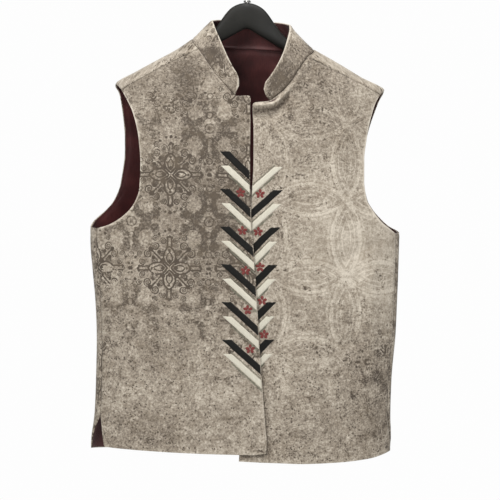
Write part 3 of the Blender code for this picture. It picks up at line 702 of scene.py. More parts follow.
def cloth_piece(name, grids, wall, material, edge_lift, extra=None):
    """A closed wall of cloth with a round rim, from grids of (middle points, normals, cut places)."""
    faces, start = [], 0
    for middle, normal, _ in grids:
        quads = grid_faces(*middle.shape[:2]) + start
        start += middle[..., 0].size
        facing = np.cross(middle[0, 1] - middle[0, 0], middle[1, 0] - middle[0, 0]) @ normal[0, 0]
        faces.append(quads if facing > 0 else quads[:, ::-1])
    points, normals, cuts = (
        np.concatenate([values.reshape(-1, values.shape[-1]) for values in kind]) for kind in zip(*grids)
    )
    _, first, index = np.unique(
        np.round(points / MERGED_WITHIN).astype(int), axis=0, return_index=True, return_inverse=True
    )
    faces = index.reshape(-1)[np.concatenate(faces)]
    points, normals, cuts = points[first], normals[first], cuts[first]
    rim = outline_of(faces, len(points))
    away = np.zeros_like(points)
    for ends in (rim[:, 0], rim[:, 1]):
        np.add.at(away, ends, np.cross(unit(points[rim[:, 1]] - points[rim[:, 0]]), normals[ends]))
    rim_points = np.unique(rim)
    away = unit(away[rim_points])
    distance = distance_to(points, points[rim_points])
    lift = edge_lift(distance, points)
    # The extra's second part is shade, shadow and highlight painted into the wash value
    if extra is not None:
        more, shade = extra(points)
        lift, cuts[:, 5] = lift + more, cuts[:, 5] + shade
    # Darker seams, and a painted highlight along the free rims
    cuts[:, 5] += dark_seams_and_painted_highlight(name, points, rim_points, distance)
    points = points + normals * lift[:, None]
    points[rim_points] -= away * wall / 2
    layers = [points + normals * wall / 2]
    for turn in np.radians(RIM_ANGLES):
        turned = normals[rim_points] * math.cos(turn) + away * math.sin(turn)
        layers.append(points[rim_points] + turned * wall / 2)
    layers.append(points - normals * wall / 2)
    place = np.full(len(points), -1)
    place[rim_points] = np.arange(len(rim_points))
    starts = np.cumsum([0] + [len(layer) for layer in layers])
    ring = [rim] + [place[rim] + starts[k] for k in range(1, len(layers) - 1)] + [rim + starts[-2]]
    sides = [np.stack([a[:, 1], a[:, 0], b[:, 0], b[:, 1]], axis=-1) for a, b in zip(ring, ring[1:])]
    all_faces = np.concatenate([faces, *sides, faces[:, ::-1] + starts[-2]])
    all_cuts = np.concatenate([cuts, *[cuts[rim_points]] * len(RIM_ANGLES), cuts])
    maps = {"cut": all_cuts[:, :3], "tone": all_cuts[:, 3:]}
    return mesh_piece(name, np.concatenate(layers), all_faces.tolist(), material, maps)


@functools.cache
def seam_places():
    """Points along the neck, shoulder and side seams."""
    places = [collar_course()]
    for side, shoulder in ((-1, RIGHT_SHOULDER), (1, LEFT_SHOULDER)):
        places.append(on_front(line(shoulder, 60), side))
        heights = np.linspace(SLIT_TOP, UNDERARM[SIDES[side]], 120)
        places.append(stacked(side * SIDE_SEAM, heights))
    return on_face(np.concatenate(places))


def placed(name, data):
    """A new object of the scene."""
    obj = bpy.data.objects.new(name, data)
    bpy.context.scene.collection.objects.link(obj)
    return obj


def mesh_piece(name, points, faces, material, maps=None, turned_out=False):
    """A smooth-shaded mesh with maps of values on its points, and with its faces turned out on request."""
    mesh = bpy.data.meshes.new(name)
    mesh.from_pydata(np.reshape(points, (-1, 3)).tolist(), [], faces)
    for title, values in (maps or {}).items():
        values = values.astype(np.float32).ravel()
        mesh.attributes.new(title, "FLOAT_VECTOR", "POINT").data.foreach_set("vector", values)
    if turned_out:
        bm = bmesh.new()
        bm.from_mesh(mesh)
        bmesh.ops.recalc_face_normals(bm, faces=bm.faces)
        bm.to_mesh(mesh)
        bm.free()
    mesh.materials.append(material)
    mesh.shade_smooth()
    return placed(name, mesh)


def cloth_lift(distance, points):
    """The turned edge, pressed at its rim, with small puckers beside it."""
    size, swing, reach = PUCKER
    lift = TURNED_EDGE * (1 - ease(distance, TURNED_WIDTH - TURNED_STEP, TURNED_WIDTH + TURNED_STEP))
    lift -= EDGE_PRESS * (1 - ease(distance, 0, EDGE_PRESS_WIDTH))
    return lift + swing * noise(points, size, 11) * np.exp(-distance / reach)


def lining_lift(distance, points):
    """The lining's edge, which turns up to the cloth, and its uneven lie."""
    size, swing = LINING_WAVES
    waves = swing * (1 + noise(points, size, 21)) * ease(distance, *LINING_WAVES_FROM)
    return LINING_TUCK * (1 - ease(distance, *LINING_TUCK_REACH)) - waves


def blobs(x, z, start, spots):
    """A soft map: this start value, moved towards each spot's value round its place."""
    value = np.full(np.shape(x), float(start))
    for *spot, wanted in spots:
        place_x, place_z, size_x, size_z = np.array(spot) / 1000
        near = np.exp(-(((x - place_x) / size_x) ** 2) - ((z - place_z) / size_z) ** 2)
        value += (wanted - value) * near
    return value


# How strong the scroll print, the petal lattice and the dark wash are: a start value, then spots with x, z
# and half-widths in millimetres, and a value. The wash spots on the back's shoulders paint a highlight
SCROLL_SPOTS = {
    "front_right": (0.36, (
        (-105, -400, 105, 150, 1.0), (-60, -270, 60, 70, 0.75), (-180, -270, 50, 80, 0.3),
        (-60, -560, 80, 80, 0.6), (-100, -740, 200, 110, -0.3), (-130, -185, 90, 45, -0.2),
        (-130, -640, 60, 50, -0.15), (-30, -670, 50, 30, -0.1),
    )),
    "front_left": (-0.06, (
        (205, -640, 50, 110, 0.34), (90, -270, 60, 60, 0.24), (60, -420, 30, 120, 0.28),
    )),
    "back": (0.4, (
        (-140, -170, 100, 35, 0.0), (150, -170, 100, 35, 0.0), (-90, -330, 110, 130, 0.95),
        (120, -600, 110, 120, 0.8), (100, -280, 100, 100, 0.25), (-120, -680, 120, 120, 0.25),
    )),
    "collar": (0.3, ((60, -150, 40, 90, 0.02),)),
}
LATTICE_SPOTS = {
    "front_right": (0.05, ((-100, -700, 120, 80, 0.25),)),
    "front_left": (0.4, ((150, -470, 95, 150, 1.0), (200, -720, 80, 90, 0.1))),
    "back": (0.15, ((120, -360, 120, 130, 0.9),)),
    "collar": (0.1, ()),
}
WASH_AND_PAINTED_HIGHLIGHT_SPOTS = {
    "front_right": (0.5, (
        (-120, -370, 110, 100, 0.72), (-115, -500, 60, 50, 0.52), (-50, -380, 60, 190, 0.84),
        (-85, -225, 35, 50, 0.86), (-50, -235, 22, 35, 0.4), (-165, -205, 60, 40, 0.74),
        (-102, -196, 26, 34, 1.16), (-70, -212, 14, 14, 0.45), (-205, -545, 40, 60, 0.42),
        (-150, -560, 35, 50, 0.58), (-40, -730, 70, 70, 0.5), (-170, -770, 80, 50, 0.74),
        (-150, -625, 75, 60, 0.68),
    )),
    "front_left": (0.48, (
        (75, -275, 50, 50, 0.62), (140, -180, 110, 60, 0.8), (122, -210, 28, 16, 1.05),
        (192, -216, 26, 22, 0.1), (150, -450, 90, 100, 0.24), (190, -490, 45, 50, 0.06),
        (150, -235, 50, 60, 0.66), (225, -700, 60, 110, 0.9), (45, -430, 22, 150, 0.5),
        (205, -410, 30, 40, 0.36), (100, -760, 110, 50, 0.66), (232, -500, 24, 120, 0.16),
    )),
    # The back's first four wash spots paint its shoulder ridges paler: a painted highlight where the top
    # light falls
    "back": (0.48, (
        (-150, -160, 100, 32, -0.02), (150, -160, 100, 32, 0.22), (-200, -202, 45, 22, -0.1),
        (205, -202, 30, 22, 0.05), (-100, -320, 110, 140, 0.74), (110, -380, 110, 120, 0.16),
        (60, -680, 120, 110, 0.62), (-130, -650, 80, 100, 0.38),
    )),
    "collar": (0.84, (
        (-80, -118, 24, 20, 0.05), (-58, -158, 20, 16, 1.5), (-55, -188, 24, 14, 0.45),
        (80, -121, 24, 18, 0.35), (60, -150, 30, 20, 0.9), (45, -192, 30, 30, 1.3),
    )),
}
PLACE_SHIFT = {"front_right": 0.0, "front_left": 0.0, "back": 3.1, "collar": 7.4}


def toned(cut, points, piece):
    """The cut places with the piece's own shift, and the print's strengths, side by side."""
    x, z = points[..., 0], points[..., 2]
    maps = [blobs(x, z, *strengths[piece]) for strengths in (SCROLL_SPOTS, LATTICE_SPOTS, WASH_AND_PAINTED_HIGHLIGHT_SPOTS)]
    return np.concatenate([cut, stacked(PLACE_SHIFT[piece], *maps)], axis=-1)


def cloth_grid(grid, piece, inward, wall, tucked=False):
    """Middle points, normals and cut places of a wall whose outside is this far in from the jacket's face."""
    around, height = grid[..., 0], grid[..., 1]
    lift = relief(around, height) - inward - wall / 2 - (lap(around, height) if tucked else 0)
    normal = outward(around, height)
    points = body(around, height)
    cut = toned(cut_place(around, height, piece), points, piece)
    return points + normal * lift[..., None], normal, cut


def neck_roll(name, neck, top, tucked):
    """Lift of the soft roll below a front's neck edge, and the shade, shadow and highlight painted there."""
    side = -1 if name == "right" else 1
    around, height = on_front(line([top, *neck], 160), side).T
    raised_by = relief(around, height) - (lap(around, height) if tucked else 0)
    edge = body(around, height) + outward(around, height) * raised_by[:, None]
    start = edge[0, 0]

    def lift(points):
        near = np.linalg.norm(points - edge[60], axis=-1) < NECK_ROLL_REACH
        total, shade = np.zeros(len(points)), np.zeros(len(points))
        away = distance_to(points[near], edge) - WALL / 2
        x = points[near][:, 0]
        strength = 1 - 0.82 * ease(np.abs(x), *NECK_ROLL_FADE)
        strength *= ease((x - start) * side, *NECK_ROLL_START)
        for place, close, far, crest in NECK_ROLL[name]:
            width = np.where(away < place, close, far)
            total[near] += crest * np.exp(-(((away - place) / width) ** 2)) * strength
        if name == "left":
            # Painted shade in the trough and a painted highlight on the ridge
            for place, width, most in ROLL_PAINTED_SHADE_AND_HIGHLIGHT:
                shade[near] += most * np.exp(-(((away - place) / width) ** 2)) * strength
            # Painted shadow where the right front laps over the left one
            shade += painted_lap_shadow(points[:, 0], points[:, 2])
        return total, shade

    return lift


def painted_lap_shadow(x, z):
    """Painted shadow on the left front where the right one lies over it."""
    reach, most = LAP_PAINTED_SHADOW
    beside = x - opening_at(z)
    shade = most * np.exp(-((beside / reach) ** 2)) * ease(-z, 0.42, 0.62) * (z > RIGHT_HEM[1][1])
    reach, most = HEM_PAINTED_SHADOW
    below = RIGHT_HEM[1][1] - z
    return shade + most * np.exp(-((below / reach) ** 2)) * (below > 0) * ease(x, 0.042, 0.026)


def make_fronts(cloth, lining):
    """Both fronts with their linings. The left one lies under the right one."""
    made = {}
    right = (-1, RIGHT_FRONT_EDGE, RIGHT_HEM, RIGHT_NECK, RIGHT_SHOULDER, RIGHT_ARMHOLE)
    left = (1, LEFT_FRONT_EDGE, LEFT_HEM, LEFT_NECK, LEFT_SHOULDER, LEFT_ARMHOLE)
    for outline, tucked in ((right, False), (left, True)):
        name = SIDES[outline[0]]
        piece = f"front_{name}"
        roll = neck_roll(name, outline[3], outline[1][-1], tucked)
        grid = cloth_grid(front_grid(*outline), piece, 0, WALL, tucked)
        made[piece] = cloth_piece(f"{piece}_cloth", [grid], WALL, cloth, cloth_lift, roll)
        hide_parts(piece)
        inner = drawn_in(front_grid(*outline, LINING_STEP), LINING_MARGINS["front"], on_face)
        grid = cloth_grid(inner, piece, WALL + LINING_SLACK, LINING_WALL, tucked)
        satin = cloth_piece(f"lining_{piece}_satin", [grid], LINING_WALL, lining, lining_lift, roll)
        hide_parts(f"lining_{piece}")
        made[f"lining_{piece}"] = satin
    return made


def make_back(cloth, lining):
    """The back with the strips that wrap over the shoulders, and its lining, which ends at the ridges."""
    grids = [back_grid(), shoulder_strip(-1, RIGHT_SHOULDER), shoulder_strip(1, LEFT_SHOULDER)]
    grids = [cloth_grid(grid, "back", 0, WALL) for grid in grids]
    back = cloth_piece("back_cloth", grids, WALL, cloth, cloth_lift)
    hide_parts("back")
    inner = drawn_in(back_grid(LINING_STEP), LINING_MARGINS["back"], on_face)
    grid = cloth_grid(inner, "back", WALL + LINING_SLACK, LINING_WALL)
    satin = cloth_piece("lining_back_satin", [grid], LINING_WALL, lining, lining_lift)
    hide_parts("lining_back")
    return {"back": back, "lining_back": satin}


def collar_course():
    """Places of the neck edge from the right front's collar end round the back to the left front's."""
    stretches = []
    for side, neck in ((-1, RIGHT_NECK), (1, LEFT_NECK)):
        front = on_front(line(neck, COLLAR_FRONT_STEPS), side)
        wrap = np.linspace(front[-1], (side, NECK_POINT[SIDES[side]]), COLLAR_WRAP_STEPS + 1)
        stretches.append(joined(front, wrap))
    u = np.linspace(0, 1, COLLAR_BACK_STEPS + 1)
    height = levelled(NECK_POINT["right"], BACK_NECK, NECK_POINT["left"], u)
    back = stacked(2 * u - 1, height)
    return joined(stretches[0], back, stretches[1][::-1])


def make_collar(cloth, lining):
    """The stand collar and its lining: a band between the neck edge and its own top edge."""
    around, height = collar_course().T
    tucked = np.where(around > 1, COLLAR_LAP * lap(around, height), 0)
    seam = body(around, height) - outward(around, height) * tucked[:, None]
    front_steps = COLLAR_FRONT_STEPS + COLLAR_WRAP_STEPS
    courses = COLLAR_TOP_RIGHT, COLLAR_TOP_BACK, COLLAR_TOP_LEFT
    top = joined(*map(line, courses, (front_steps, COLLAR_BACK_STEPS, front_steps)))
    rise = unit(top - seam)
    seam = seam + rise * 2 * GAP
    right_end = line((seam[0], COLLAR_END_RIGHT, top[0]), COLLAR_ROWS)
    left_end = line((seam[-1], COLLAR_END_LEFT, top[-1]), COLLAR_ROWS)
    band = filled(seam, top, right_end, left_end)
    along, up = np.gradient(band, axis=1), np.gradient(band, axis=0)
    normal = unit(np.cross(up, along))
    for _ in range(6):
        normal[:, 1:-1] = unit(normal[:, :-2] + 2 * normal[:, 1:-1] + normal[:, 2:])
    share = np.linspace(0, 1, COLLAR_ROWS + 1)[:, None]
    swing, size = COLLAR_WAVES
    swell = (COLLAR_SWELL + swing * noise(band, size, 5)) * np.sin(math.pi * share)
    travel = travelled(band[0])
    across = travel - travel[-1] / 2
    cut = stacked(across, share * COLLAR_HEIGHT)
    cut = toned(cut, band, "collar")
    outside = band + normal * (swell[..., None] - WALL / 2)
    collar = cloth_piece("collar_cloth", [(outside, normal, cut)], WALL, cloth, collar_lift)
    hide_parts("collar")
    inside = drawn_in(outside - normal * (WALL / 2 + GAP + LINING_WALL / 2), LINING_MARGINS["collar"])
    facing = unit(np.cross(*(np.gradient(inside, axis=axis) for axis in (0, 1))))
    down, face = unit(inside[0] - inside[1]), outward(around, height)
    down = unit(down - face * np.sum(down * face, axis=-1, keepdims=True))
    foot = []
    ends = np.minimum(travel, travel[-1] - travel)
    share = (0.15 + 0.85 * ease(ends, 0.004, 0.022))[:, None]
    for drop, sink in NECK_FACING:
        foot.append(inside[0] + (down * drop - face * sink) * share)
    inside = np.concatenate([foot, inside])
    facing = np.concatenate([[face] * len(foot), facing])
    cut = np.concatenate([cut[:1]] * len(foot) + [cut])
    satin = cloth_piece("collar_lining_satin", [(inside, facing, cut)], LINING_WALL, lining, flat_lift)
    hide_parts("collar_lining")
    return {"collar": collar, "collar_lining": satin}


def flat_lift(_, points):
    """No turned edge."""
    return np.zeros(len(points))


def collar_lift(distance, points):
    """The collar's stitched edge, pressed at its rim, with fine puckers beside it."""
    stitched, *step = COLLAR_STITCH
    pressed, width = COLLAR_PRESS
    size, swing, reach = COLLAR_PUCKER
    lift = stitched * (1 - ease(distance, *step)) - pressed * (1 - ease(distance, 0, width))
    return lift + swing * noise(points, size, 9) * np.exp(-distance / reach)


def circle(count):
    """Angles evenly round a circle."""
    return np.linspace(0, 2 * math.pi, count, endpoint=False)


def ring_mesh(name, rings, material):
    """A closed mesh through rings of points, with a flat cap at each end."""
    count, around = np.shape(rings)[:2]
    index = np.arange(count * around).reshape(count, around)
    ahead = np.roll(index, -1, axis=1)
    faces = np.stack([index[:-1], ahead[:-1], ahead[1:], index[1:]], axis=-1).reshape(-1, 4).tolist()
    faces += [index[0, ::-1].tolist(), index[-1].tolist()]
    return mesh_piece(name, rings, faces, material, turned_out=True)


def squared(values):
    """A cosine or a sine of a circle drawn towards a square's."""
    return np.sign(values) * np.abs(values) ** (2 / HANGER_CORNER)


def make_hanger(plastic):
    """The moulded hanger with the hook's bore."""
    half = HANGER_SECTIONS
    sections = np.concatenate([half[:0:-1] * (-1, 1, 1, 1, 1), half])
    even = np.linspace(-1, 1, HANGER_RINGS)
    reach = np.sin(even * math.pi / 2) * HANGER_CROWDING + even * (1 - HANGER_CROWDING)
    x = reach * half[-1, 0]
    top, bottom, thick, bow = (rounded(smooth(x, sections[:, 0], sections[:, k]), 14) for k in (1, 2, 3, 4))
    end = ease(half[-1, 0] - np.abs(x), *HANGER_END) ** 0.5
    turn = circle(HANGER_SIDES)
    y = thick * end * squared(np.cos(turn))[:, None] - bow
    z = (top + bottom) / 2 + (top - bottom) / 2 * end * squared(np.sin(turn))[:, None]
    rings = stacked(x, y, z).transpose(1, 0, 2)
    hanger = ring_mesh("hanger_moulding", rings, plastic)
    radius, turn = WIRE_RADIUS + GAP, circle(BORE_SIDES)
    ends = [stacked(np.cos(turn) * radius, np.sin(turn) * radius, z) for z in BORE]
    bore = ring_mesh("hook_bore", ends, plastic)
    cut = hanger.modifiers.new("bore", "BOOLEAN")
    cut.object = bore
    cut.operation = "DIFFERENCE"
    apply_modifiers(hanger)
    bpy.data.objects.remove(bore)
    hanger.data.set_sharp_from_angle(angle=math.radians(50))
    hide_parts("hanger_body")
    return hanger


def apply_modifiers(obj):
    """The object's mesh with its modifiers worked in."""
    graph = bpy.context.evaluated_depsgraph_get()
    graph.update()
    mesh = bpy.data.meshes.new_from_object(obj.evaluated_get(graph), depsgraph=graph)
    obj.modifiers.clear()
    obj.data = mesh


def hook_course(step):
    """Places along the wire, as x and z, from its foot in the hanger to its tip."""
    radius = SEAT_RADIUS + WIRE_RADIUS
    centre = -SEAT_RADIUS
    points = [(0.0, z) for z in np.arange(SHANK_FOOT, SHANK_TOP, step)]
    start = np.array([0.0, SHANK_TOP])
    end = np.array([radius * math.cos(HOOK_FOOT_ANGLE), centre + radius * math.sin(HOOK_FOOT_ANGLE)])
    leave = np.array([0.0, SHANK_EASE])
    arrive = SHANK_EASE * np.array([-math.sin(HOOK_FOOT_ANGLE), math.cos(HOOK_FOOT_ANGLE)])
    for t in np.linspace(0, 1, 22)[:-1]:
        place = (1 + 2 * t) * (1 - t) ** 2 * start + t * (1 - t) ** 2 * leave
        points.append(tuple(place + t * t * (3 - 2 * t) * end - t * t * (1 - t) * arrive))
    arc_steps = round(radius * (HOOK_TIP_ANGLE - HOOK_FOOT_ANGLE) / step)
    for angle in np.linspace(HOOK_FOOT_ANGLE, HOOK_TIP_ANGLE, arc_steps + 1):
        points.append((radius * math.cos(angle), centre + radius * math.sin(angle)))
    return np.array(points)


def wire_ring(place, across, radius):
    """A ring of points round a place of the hook's plane."""
    turn = circle(WIRE_SIDES)
    offset = np.outer(np.cos(turn), across) * radius
    return stacked(place[0] + offset[:, 0], np.sin(turn) * radius, place[1] + offset[:, 1])


def make_hook(steel):
    """The wire hook, with a rounded tip, and the turned collar at its foot."""
    course = hook_course(WIRE_STEP)
    tangent = unit(np.gradient(course, axis=0))
    side = stacked(-tangent[:, 1], tangent[:, 0])
    sizes = np.full(len(course), WIRE_RADIUS)
    sizes[0] *= 0.8
    rings = [wire_ring(*each) for each in zip(course, side, sizes)]
    for angle in np.radians(TIP_RINGS):
        place = course[-1] + tangent[-1] * WIRE_RADIUS * (math.sin(angle) - 1) * 0.5
        rings.append(wire_ring(place, side[-1], WIRE_RADIUS * math.cos(angle)))
    hook = ring_mesh("hook_wire", rings, steel)
    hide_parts("hanger_hook")
    radius, height = np.transpose(rounded_profile(FERRULE, FERRULE_ROUND))[..., None]
    turn = circle(FERRULE_SIDES)
    points = stacked(radius * np.cos(turn), radius * np.sin(turn), height)
    index = np.arange(points[..., 0].size).reshape(points.shape[:2])
    ahead, above = np.roll(index, -1, axis=1), np.roll(index, -1, axis=0)
    faces = np.stack([index, ahead, np.roll(ahead, -1, axis=0), above], axis=-1).reshape(-1, 4)
    ferrule = mesh_piece("hook_ferrule", points, faces.tolist(), steel, turned_out=True)
    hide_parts("hanger_ferrule")
    return hook, ferrule


def rounded_profile(corners, radius):
    """The closed outline with each corner cut round."""
    corners = np.array(corners, float)
    outline = []
    for before, here, after in zip(np.roll(corners, 1, axis=0), corners, np.roll(corners, -1, axis=0)):
        reach = min(radius, np.linalg.norm(before - here) * 0.4, np.linalg.norm(after - here) * 0.4)
        a, b = here + unit(before - here) * reach, here + unit(after - here) * reach
        for t in np.linspace(0, 1, 5):
            outline.append((1 - t) ** 2 * a + 2 * t * (1 - t) * here + t * t * b)
    return outline


# Embroidered band along the opening: two bars of thread a unit, a flower below them
UNIT_TOPS = tuple(-0.3223 - 0.0602 * k for k in range(6))
# x of the bars' outer ends at the top and at the foot of the band
BAND = {"right": (-0.0330, -0.0225), "left": (0.0415, 0.0300)}
BAND_LENGTH = 0.36
# How far the bars stay back from the opening, and where the left ones end at the top and further down
BAND_BACK = {"right": 0.0012, "left": 0.0040}
LEFT_INNER = (0.0078, -0.0150)
BAND_SLOPE = 0.95
# Bars and single threads: place below the unit's top, width
BLACK_BAR = (0.0, 0.0150)
CREAM_BAR = (-0.0220, 0.0130)
SAGE_THREADS = ((-0.0132, 0.0014), (-0.0305, 0.0014), (-0.0325, 0.0010))
THREAD_RISE = 0.00045
THREAD_GAP = 0.00005
BAR_STEPS = (34, 7)
# A flower's place below its unit's top and out from the opening, then a petal's half-length, half-width and
# distance from the flower's middle
FLOWER_DROP = {"right": 0.0418, "left": 0.0395}
FLOWER_OUT = {"right": 0.0145, "left": 0.0128}
PETAL = (0.0036, 0.0025, 0.0044)
PETAL_RISE = 0.0007
PETALS = 5
PETAL_STEPS = (10, 5)
# How far apart the grain of two bars or petals lies
SEED_SHIFT = 0.37


class Ground:
    """The outer face of a front, on which threads are laid."""

    def __init__(self, obj):
        mesh = obj.data
        points = np.empty(len(mesh.vertices) * 3)
        mesh.vertices.foreach_get("co", points)
        faces = [tuple(face.vertices) for face in mesh.polygons]
        self.tree = BVHTree.FromPolygons(points.reshape(-1, 3).tolist(), faces)

    def at(self, x, z):
        """Points and normals of the face at these places, and which of them lie on it."""
        flat = stacked(np.ravel(x), np.ravel(z))
        points, normals = np.zeros((2, len(flat), 3))
        found = np.zeros(len(flat), bool)
        for k, (px, pz) in enumerate(flat):
            place, normal, _, _ = self.tree.ray_cast(Vector((px, -1, pz)), Vector((0, 1, 0)))
            if place is not None and place.y < 0 and normal.y < -0.5:
                points[k], normals[k], found[k] = place, normal, True
        shape = np.shape(x)
        return points.reshape(*shape, 3), normals.reshape(*shape, 3), found.reshape(shape)


def pillow(points, normals, height):
    """Vertices and faces of a closed low pillow on a grid of places."""
    under = height.size
    top = points + normals * (THREAD_GAP * 2 + height)[..., None]
    bottom = points + normals * THREAD_GAP
    quads = grid_faces(*height.shape)
    rim = outline_of(quads, under)
    sides = np.concatenate([rim[:, ::-1], rim + under], axis=-1)
    vertices = np.concatenate([top.reshape(-1, 3), bottom.reshape(-1, 3)])
    return vertices, np.concatenate([quads, quads[:, ::-1] + under, sides])


def threads_piece(name, pillows, material):
    """One mesh of many pillows of thread, facing out."""
    vertices, faces, cuts, start = [], [], [], 0
    for (points, polygons), cut in pillows:
        vertices.append(points)
        faces.append(polygons + start)
        cuts.append(np.concatenate([cut.reshape(-1, 3)] * 2))
        start += len(points)
    faces = np.concatenate(faces).tolist()
    maps = {"cut": np.concatenate(cuts)}
    return mesh_piece(name, np.concatenate(vertices), faces, material, maps, turned_out=True)


def band_at(side, z):
    """x of the band's inner and outer ends at this height."""
    share = np.clip((UNIT_TOPS[0] - z) / BAND_LENGTH, 0, 1.2)
    top, foot = BAND[side]
    inner = opening_at(z) - BAND_BACK[side]
    if side == "left":
        inner = np.maximum(inner, LEFT_INNER[0] + LEFT_INNER[1] * share)
    return inner, top + (foot - top) * share


def bar(ground, side, top, drop, width, seed):
    """A slanting bar of satin stitch, cut upright at the opening and level at its outer end."""
    s, t = np.meshgrid(*(np.linspace(0, 1, steps + 1) for steps in BAR_STEPS), indexing="ij")
    inner, outer = band_at(side, top + drop - 0.020)
    run = abs(outer - inner)
    low = top + drop - run * BAND_SLOPE + (t - 0.5) * width
    reach = (top + drop - low) / BAND_SLOPE + width * 0.5
    ragged = 0.0004 * noise(stacked(t * 9 + seed, 0, 0), 1.0, seed)
    away = s * (np.minimum(reach, run + width) + ragged)
    wavy = 0.0003 * noise(stacked(s * 7, t * 3 + seed, 0), 1.0, seed)
    z = low + away * BAND_SLOPE + wavy
    start, _ = band_at(side, z)
    x = start + away * np.sign(outer - inner)
    points, normals, found = ground.at(x, z)
    if not found.all():
        return None
    crown = np.sqrt(np.clip(1 - (2 * t - 1) ** 4, 0, 1) * np.clip(1 - (2 * s - 1) ** 12, 0, 1))
    height = THREAD_RISE * crown * (1 + 0.12 * np.sin(s * 90 + seed))
    cut = stacked(away * np.hypot(1, BAND_SLOPE), t * width, seed * SEED_SHIFT)
    return pillow(points, normals, height), cut


def petal(ground, x, z, angle, seed):
    """One petal of a flower at x, z."""
    long, wide, out = PETAL
    s = np.linspace(0, 1, PETAL_STEPS[0] + 1)[:, None]
    t = np.linspace(-1, 1, PETAL_STEPS[1] + 1)[None]
    u = out + (2 * s - 1) * long
    v = t * wide * (0.10 + 0.90 * np.sin(math.pi * s**1.2) ** 0.7)
    px = x + u * math.cos(angle) - v * math.sin(angle)
    pz = z + u * math.sin(angle) + v * math.cos(angle)
    points, normals, found = ground.at(px, pz)
    if not found.all():
        return None
    height = PETAL_RISE * np.sqrt(np.clip(1 - t**4, 0, 1) * np.clip(1 - (2 * s - 1) ** 8, 0, 1))
    cut = stacked(u, v, seed * SEED_SHIFT)
    return pillow(points, normals, height), cut


def make_embroidery(pieces):
    """The bars and flowers of both fronts, one piece for each colour and side."""
    made = []
    seeds = iter(range(1, 400))
    for way, side in SIDES.items():
        ground = Ground(pieces[f"front_{side}"])
        groups = {"black": [], "cream": [], "sage": [], "red": []}
        for top in UNIT_TOPS:
            for colour, bars in (("black", [BLACK_BAR]), ("cream", [CREAM_BAR]), ("sage", SAGE_THREADS)):
                groups[colour] += [bar(ground, side, top, *each, next(seeds)) for each in bars]
            if top == UNIT_TOPS[-1]:
                continue
            drop, out = FLOWER_DROP[side], FLOWER_OUT[side]
            inner, outer = band_at(side, top - drop)
            z = top - drop - (abs(outer - inner) - out) * BAND_SLOPE
            x = band_at(side, z)[0] + way * out
            for k in range(PETALS):
                seed = next(seeds)
                tilt = math.radians(90 + 360 / PETALS * k + (seed * 37) % 15 - 7)
                groups["red"].append(petal(ground, x, z, tilt, seed))
        for colour, shapes in groups.items():
            shapes = [each for each in shapes if each]
            made.append(threads_piece(f"threads_{colour}_{side}", shapes, THREADS[colour]))
    return made


class Wire:
    """A value in a material's nodes. Arithmetic on it adds nodes."""

    def __init__(self, tree, socket):
        self.tree, self.socket = tree, socket

    def math(self, operation, *others):
        return node(self.tree, "Math", 0, enumerate((self, *others)), operation=operation)

    def ramp(self, low, high, start=0.0, end=1.0):
        """A smooth step: start below low and end above high."""
        slots = {"Value": self, "From Min": low, "From Max": high, "To Min": start, "To Max": end}
        return node(self.tree, "MapRange", 0, slots.items(), interpolation_type="SMOOTHSTEP")

    def fade(self, low, high):
        """1 below low and 0 above high."""
        return self.ramp(low, high, 1.0, 0.0)

    def stroke(self, half, soft=0.05):
        """1 within this distance of nought, with soft sides."""
        return self.abs().fade(half, half + soft)


# Fold is the distance to the nearest multiple of twice the half repeat
WIRE_MATH = {
    "__add__": "ADD",
    "__sub__": "SUBTRACT",
    "__mul__": "MULTIPLY",
    "__truediv__": "DIVIDE",
    "abs": "ABSOLUTE",
    "most": "MAXIMUM",
    "least": "MINIMUM",
    "fold": "PINGPONG",
}
for name, operation in WIRE_MATH.items():
    setattr(Wire, name, functools.partialmethod(Wire.math, operation))


def feed(tree, slot, value):
    """Links a wire to the slot, or sets its value."""
    if isinstance(value, Wire):
        tree.links.new(value.socket, slot)
    else:
        slot.default_value = value


def node(tree, kind, output, slots=(), **settings):
    """The output of a new node with these settings, fed at these slots."""
    made = tree.nodes.new(f"ShaderNode{kind}")
    for name, value in settings.items():
        setattr(made, name, value)
    for name, value in slots:
        feed(tree, made.inputs[name], value)
    return Wire(tree, made.outputs[output])


def new_material(name):
    """A material, its nodes and its shader."""
    material = bpy.data.materials.new(name)
    material.use_nodes = True
    return material, material.node_tree, material.node_tree.nodes["Principled BSDF"]


def parts(wire):
    """The three parts of a vector."""
    split = wire.tree.nodes.new("ShaderNodeSeparateXYZ")
    feed(wire.tree, split.inputs[0], wire)
    return [Wire(wire.tree, socket) for socket in split.outputs]


def attribute(tree, name):
    """The three values that the mesh keeps under this name."""
    return parts(node(tree, "Attribute", "Vector", attribute_name=name))


def vector(tree, *values):
    return node(tree, "CombineXYZ", 0, enumerate(values))


def grain(place, scale, detail=2.0, rough=0.5):
    """Noise from -1 to 1 at this vector, mostly within half of that."""
    slots = {"Vector": place, "Scale": scale, "Detail": detail, "Roughness": rough}
    return node(place.tree, "TexNoise", "Fac", slots.items()).math("MULTIPLY_ADD", 2.0, -1.0)


def spots(place, scale, size, soft):
    """Soft dots, one a cell of this scale."""
    slots = {"Vector": place, "Scale": scale}
    return node(place.tree, "TexVoronoi", "Distance", slots.items()).fade(size, size + soft)


def away(place, x, y):
    """Distance from this place to a point of the plane."""
    return node(place.tree, "VectorMath", "Value", enumerate((place, (x, y, 0))), operation="DISTANCE")


def dot(place, x, y, low, high):
    """1 within the first distance of a point of the plane and 0 beyond the second."""
    return away(place, x, y).fade(low, high)


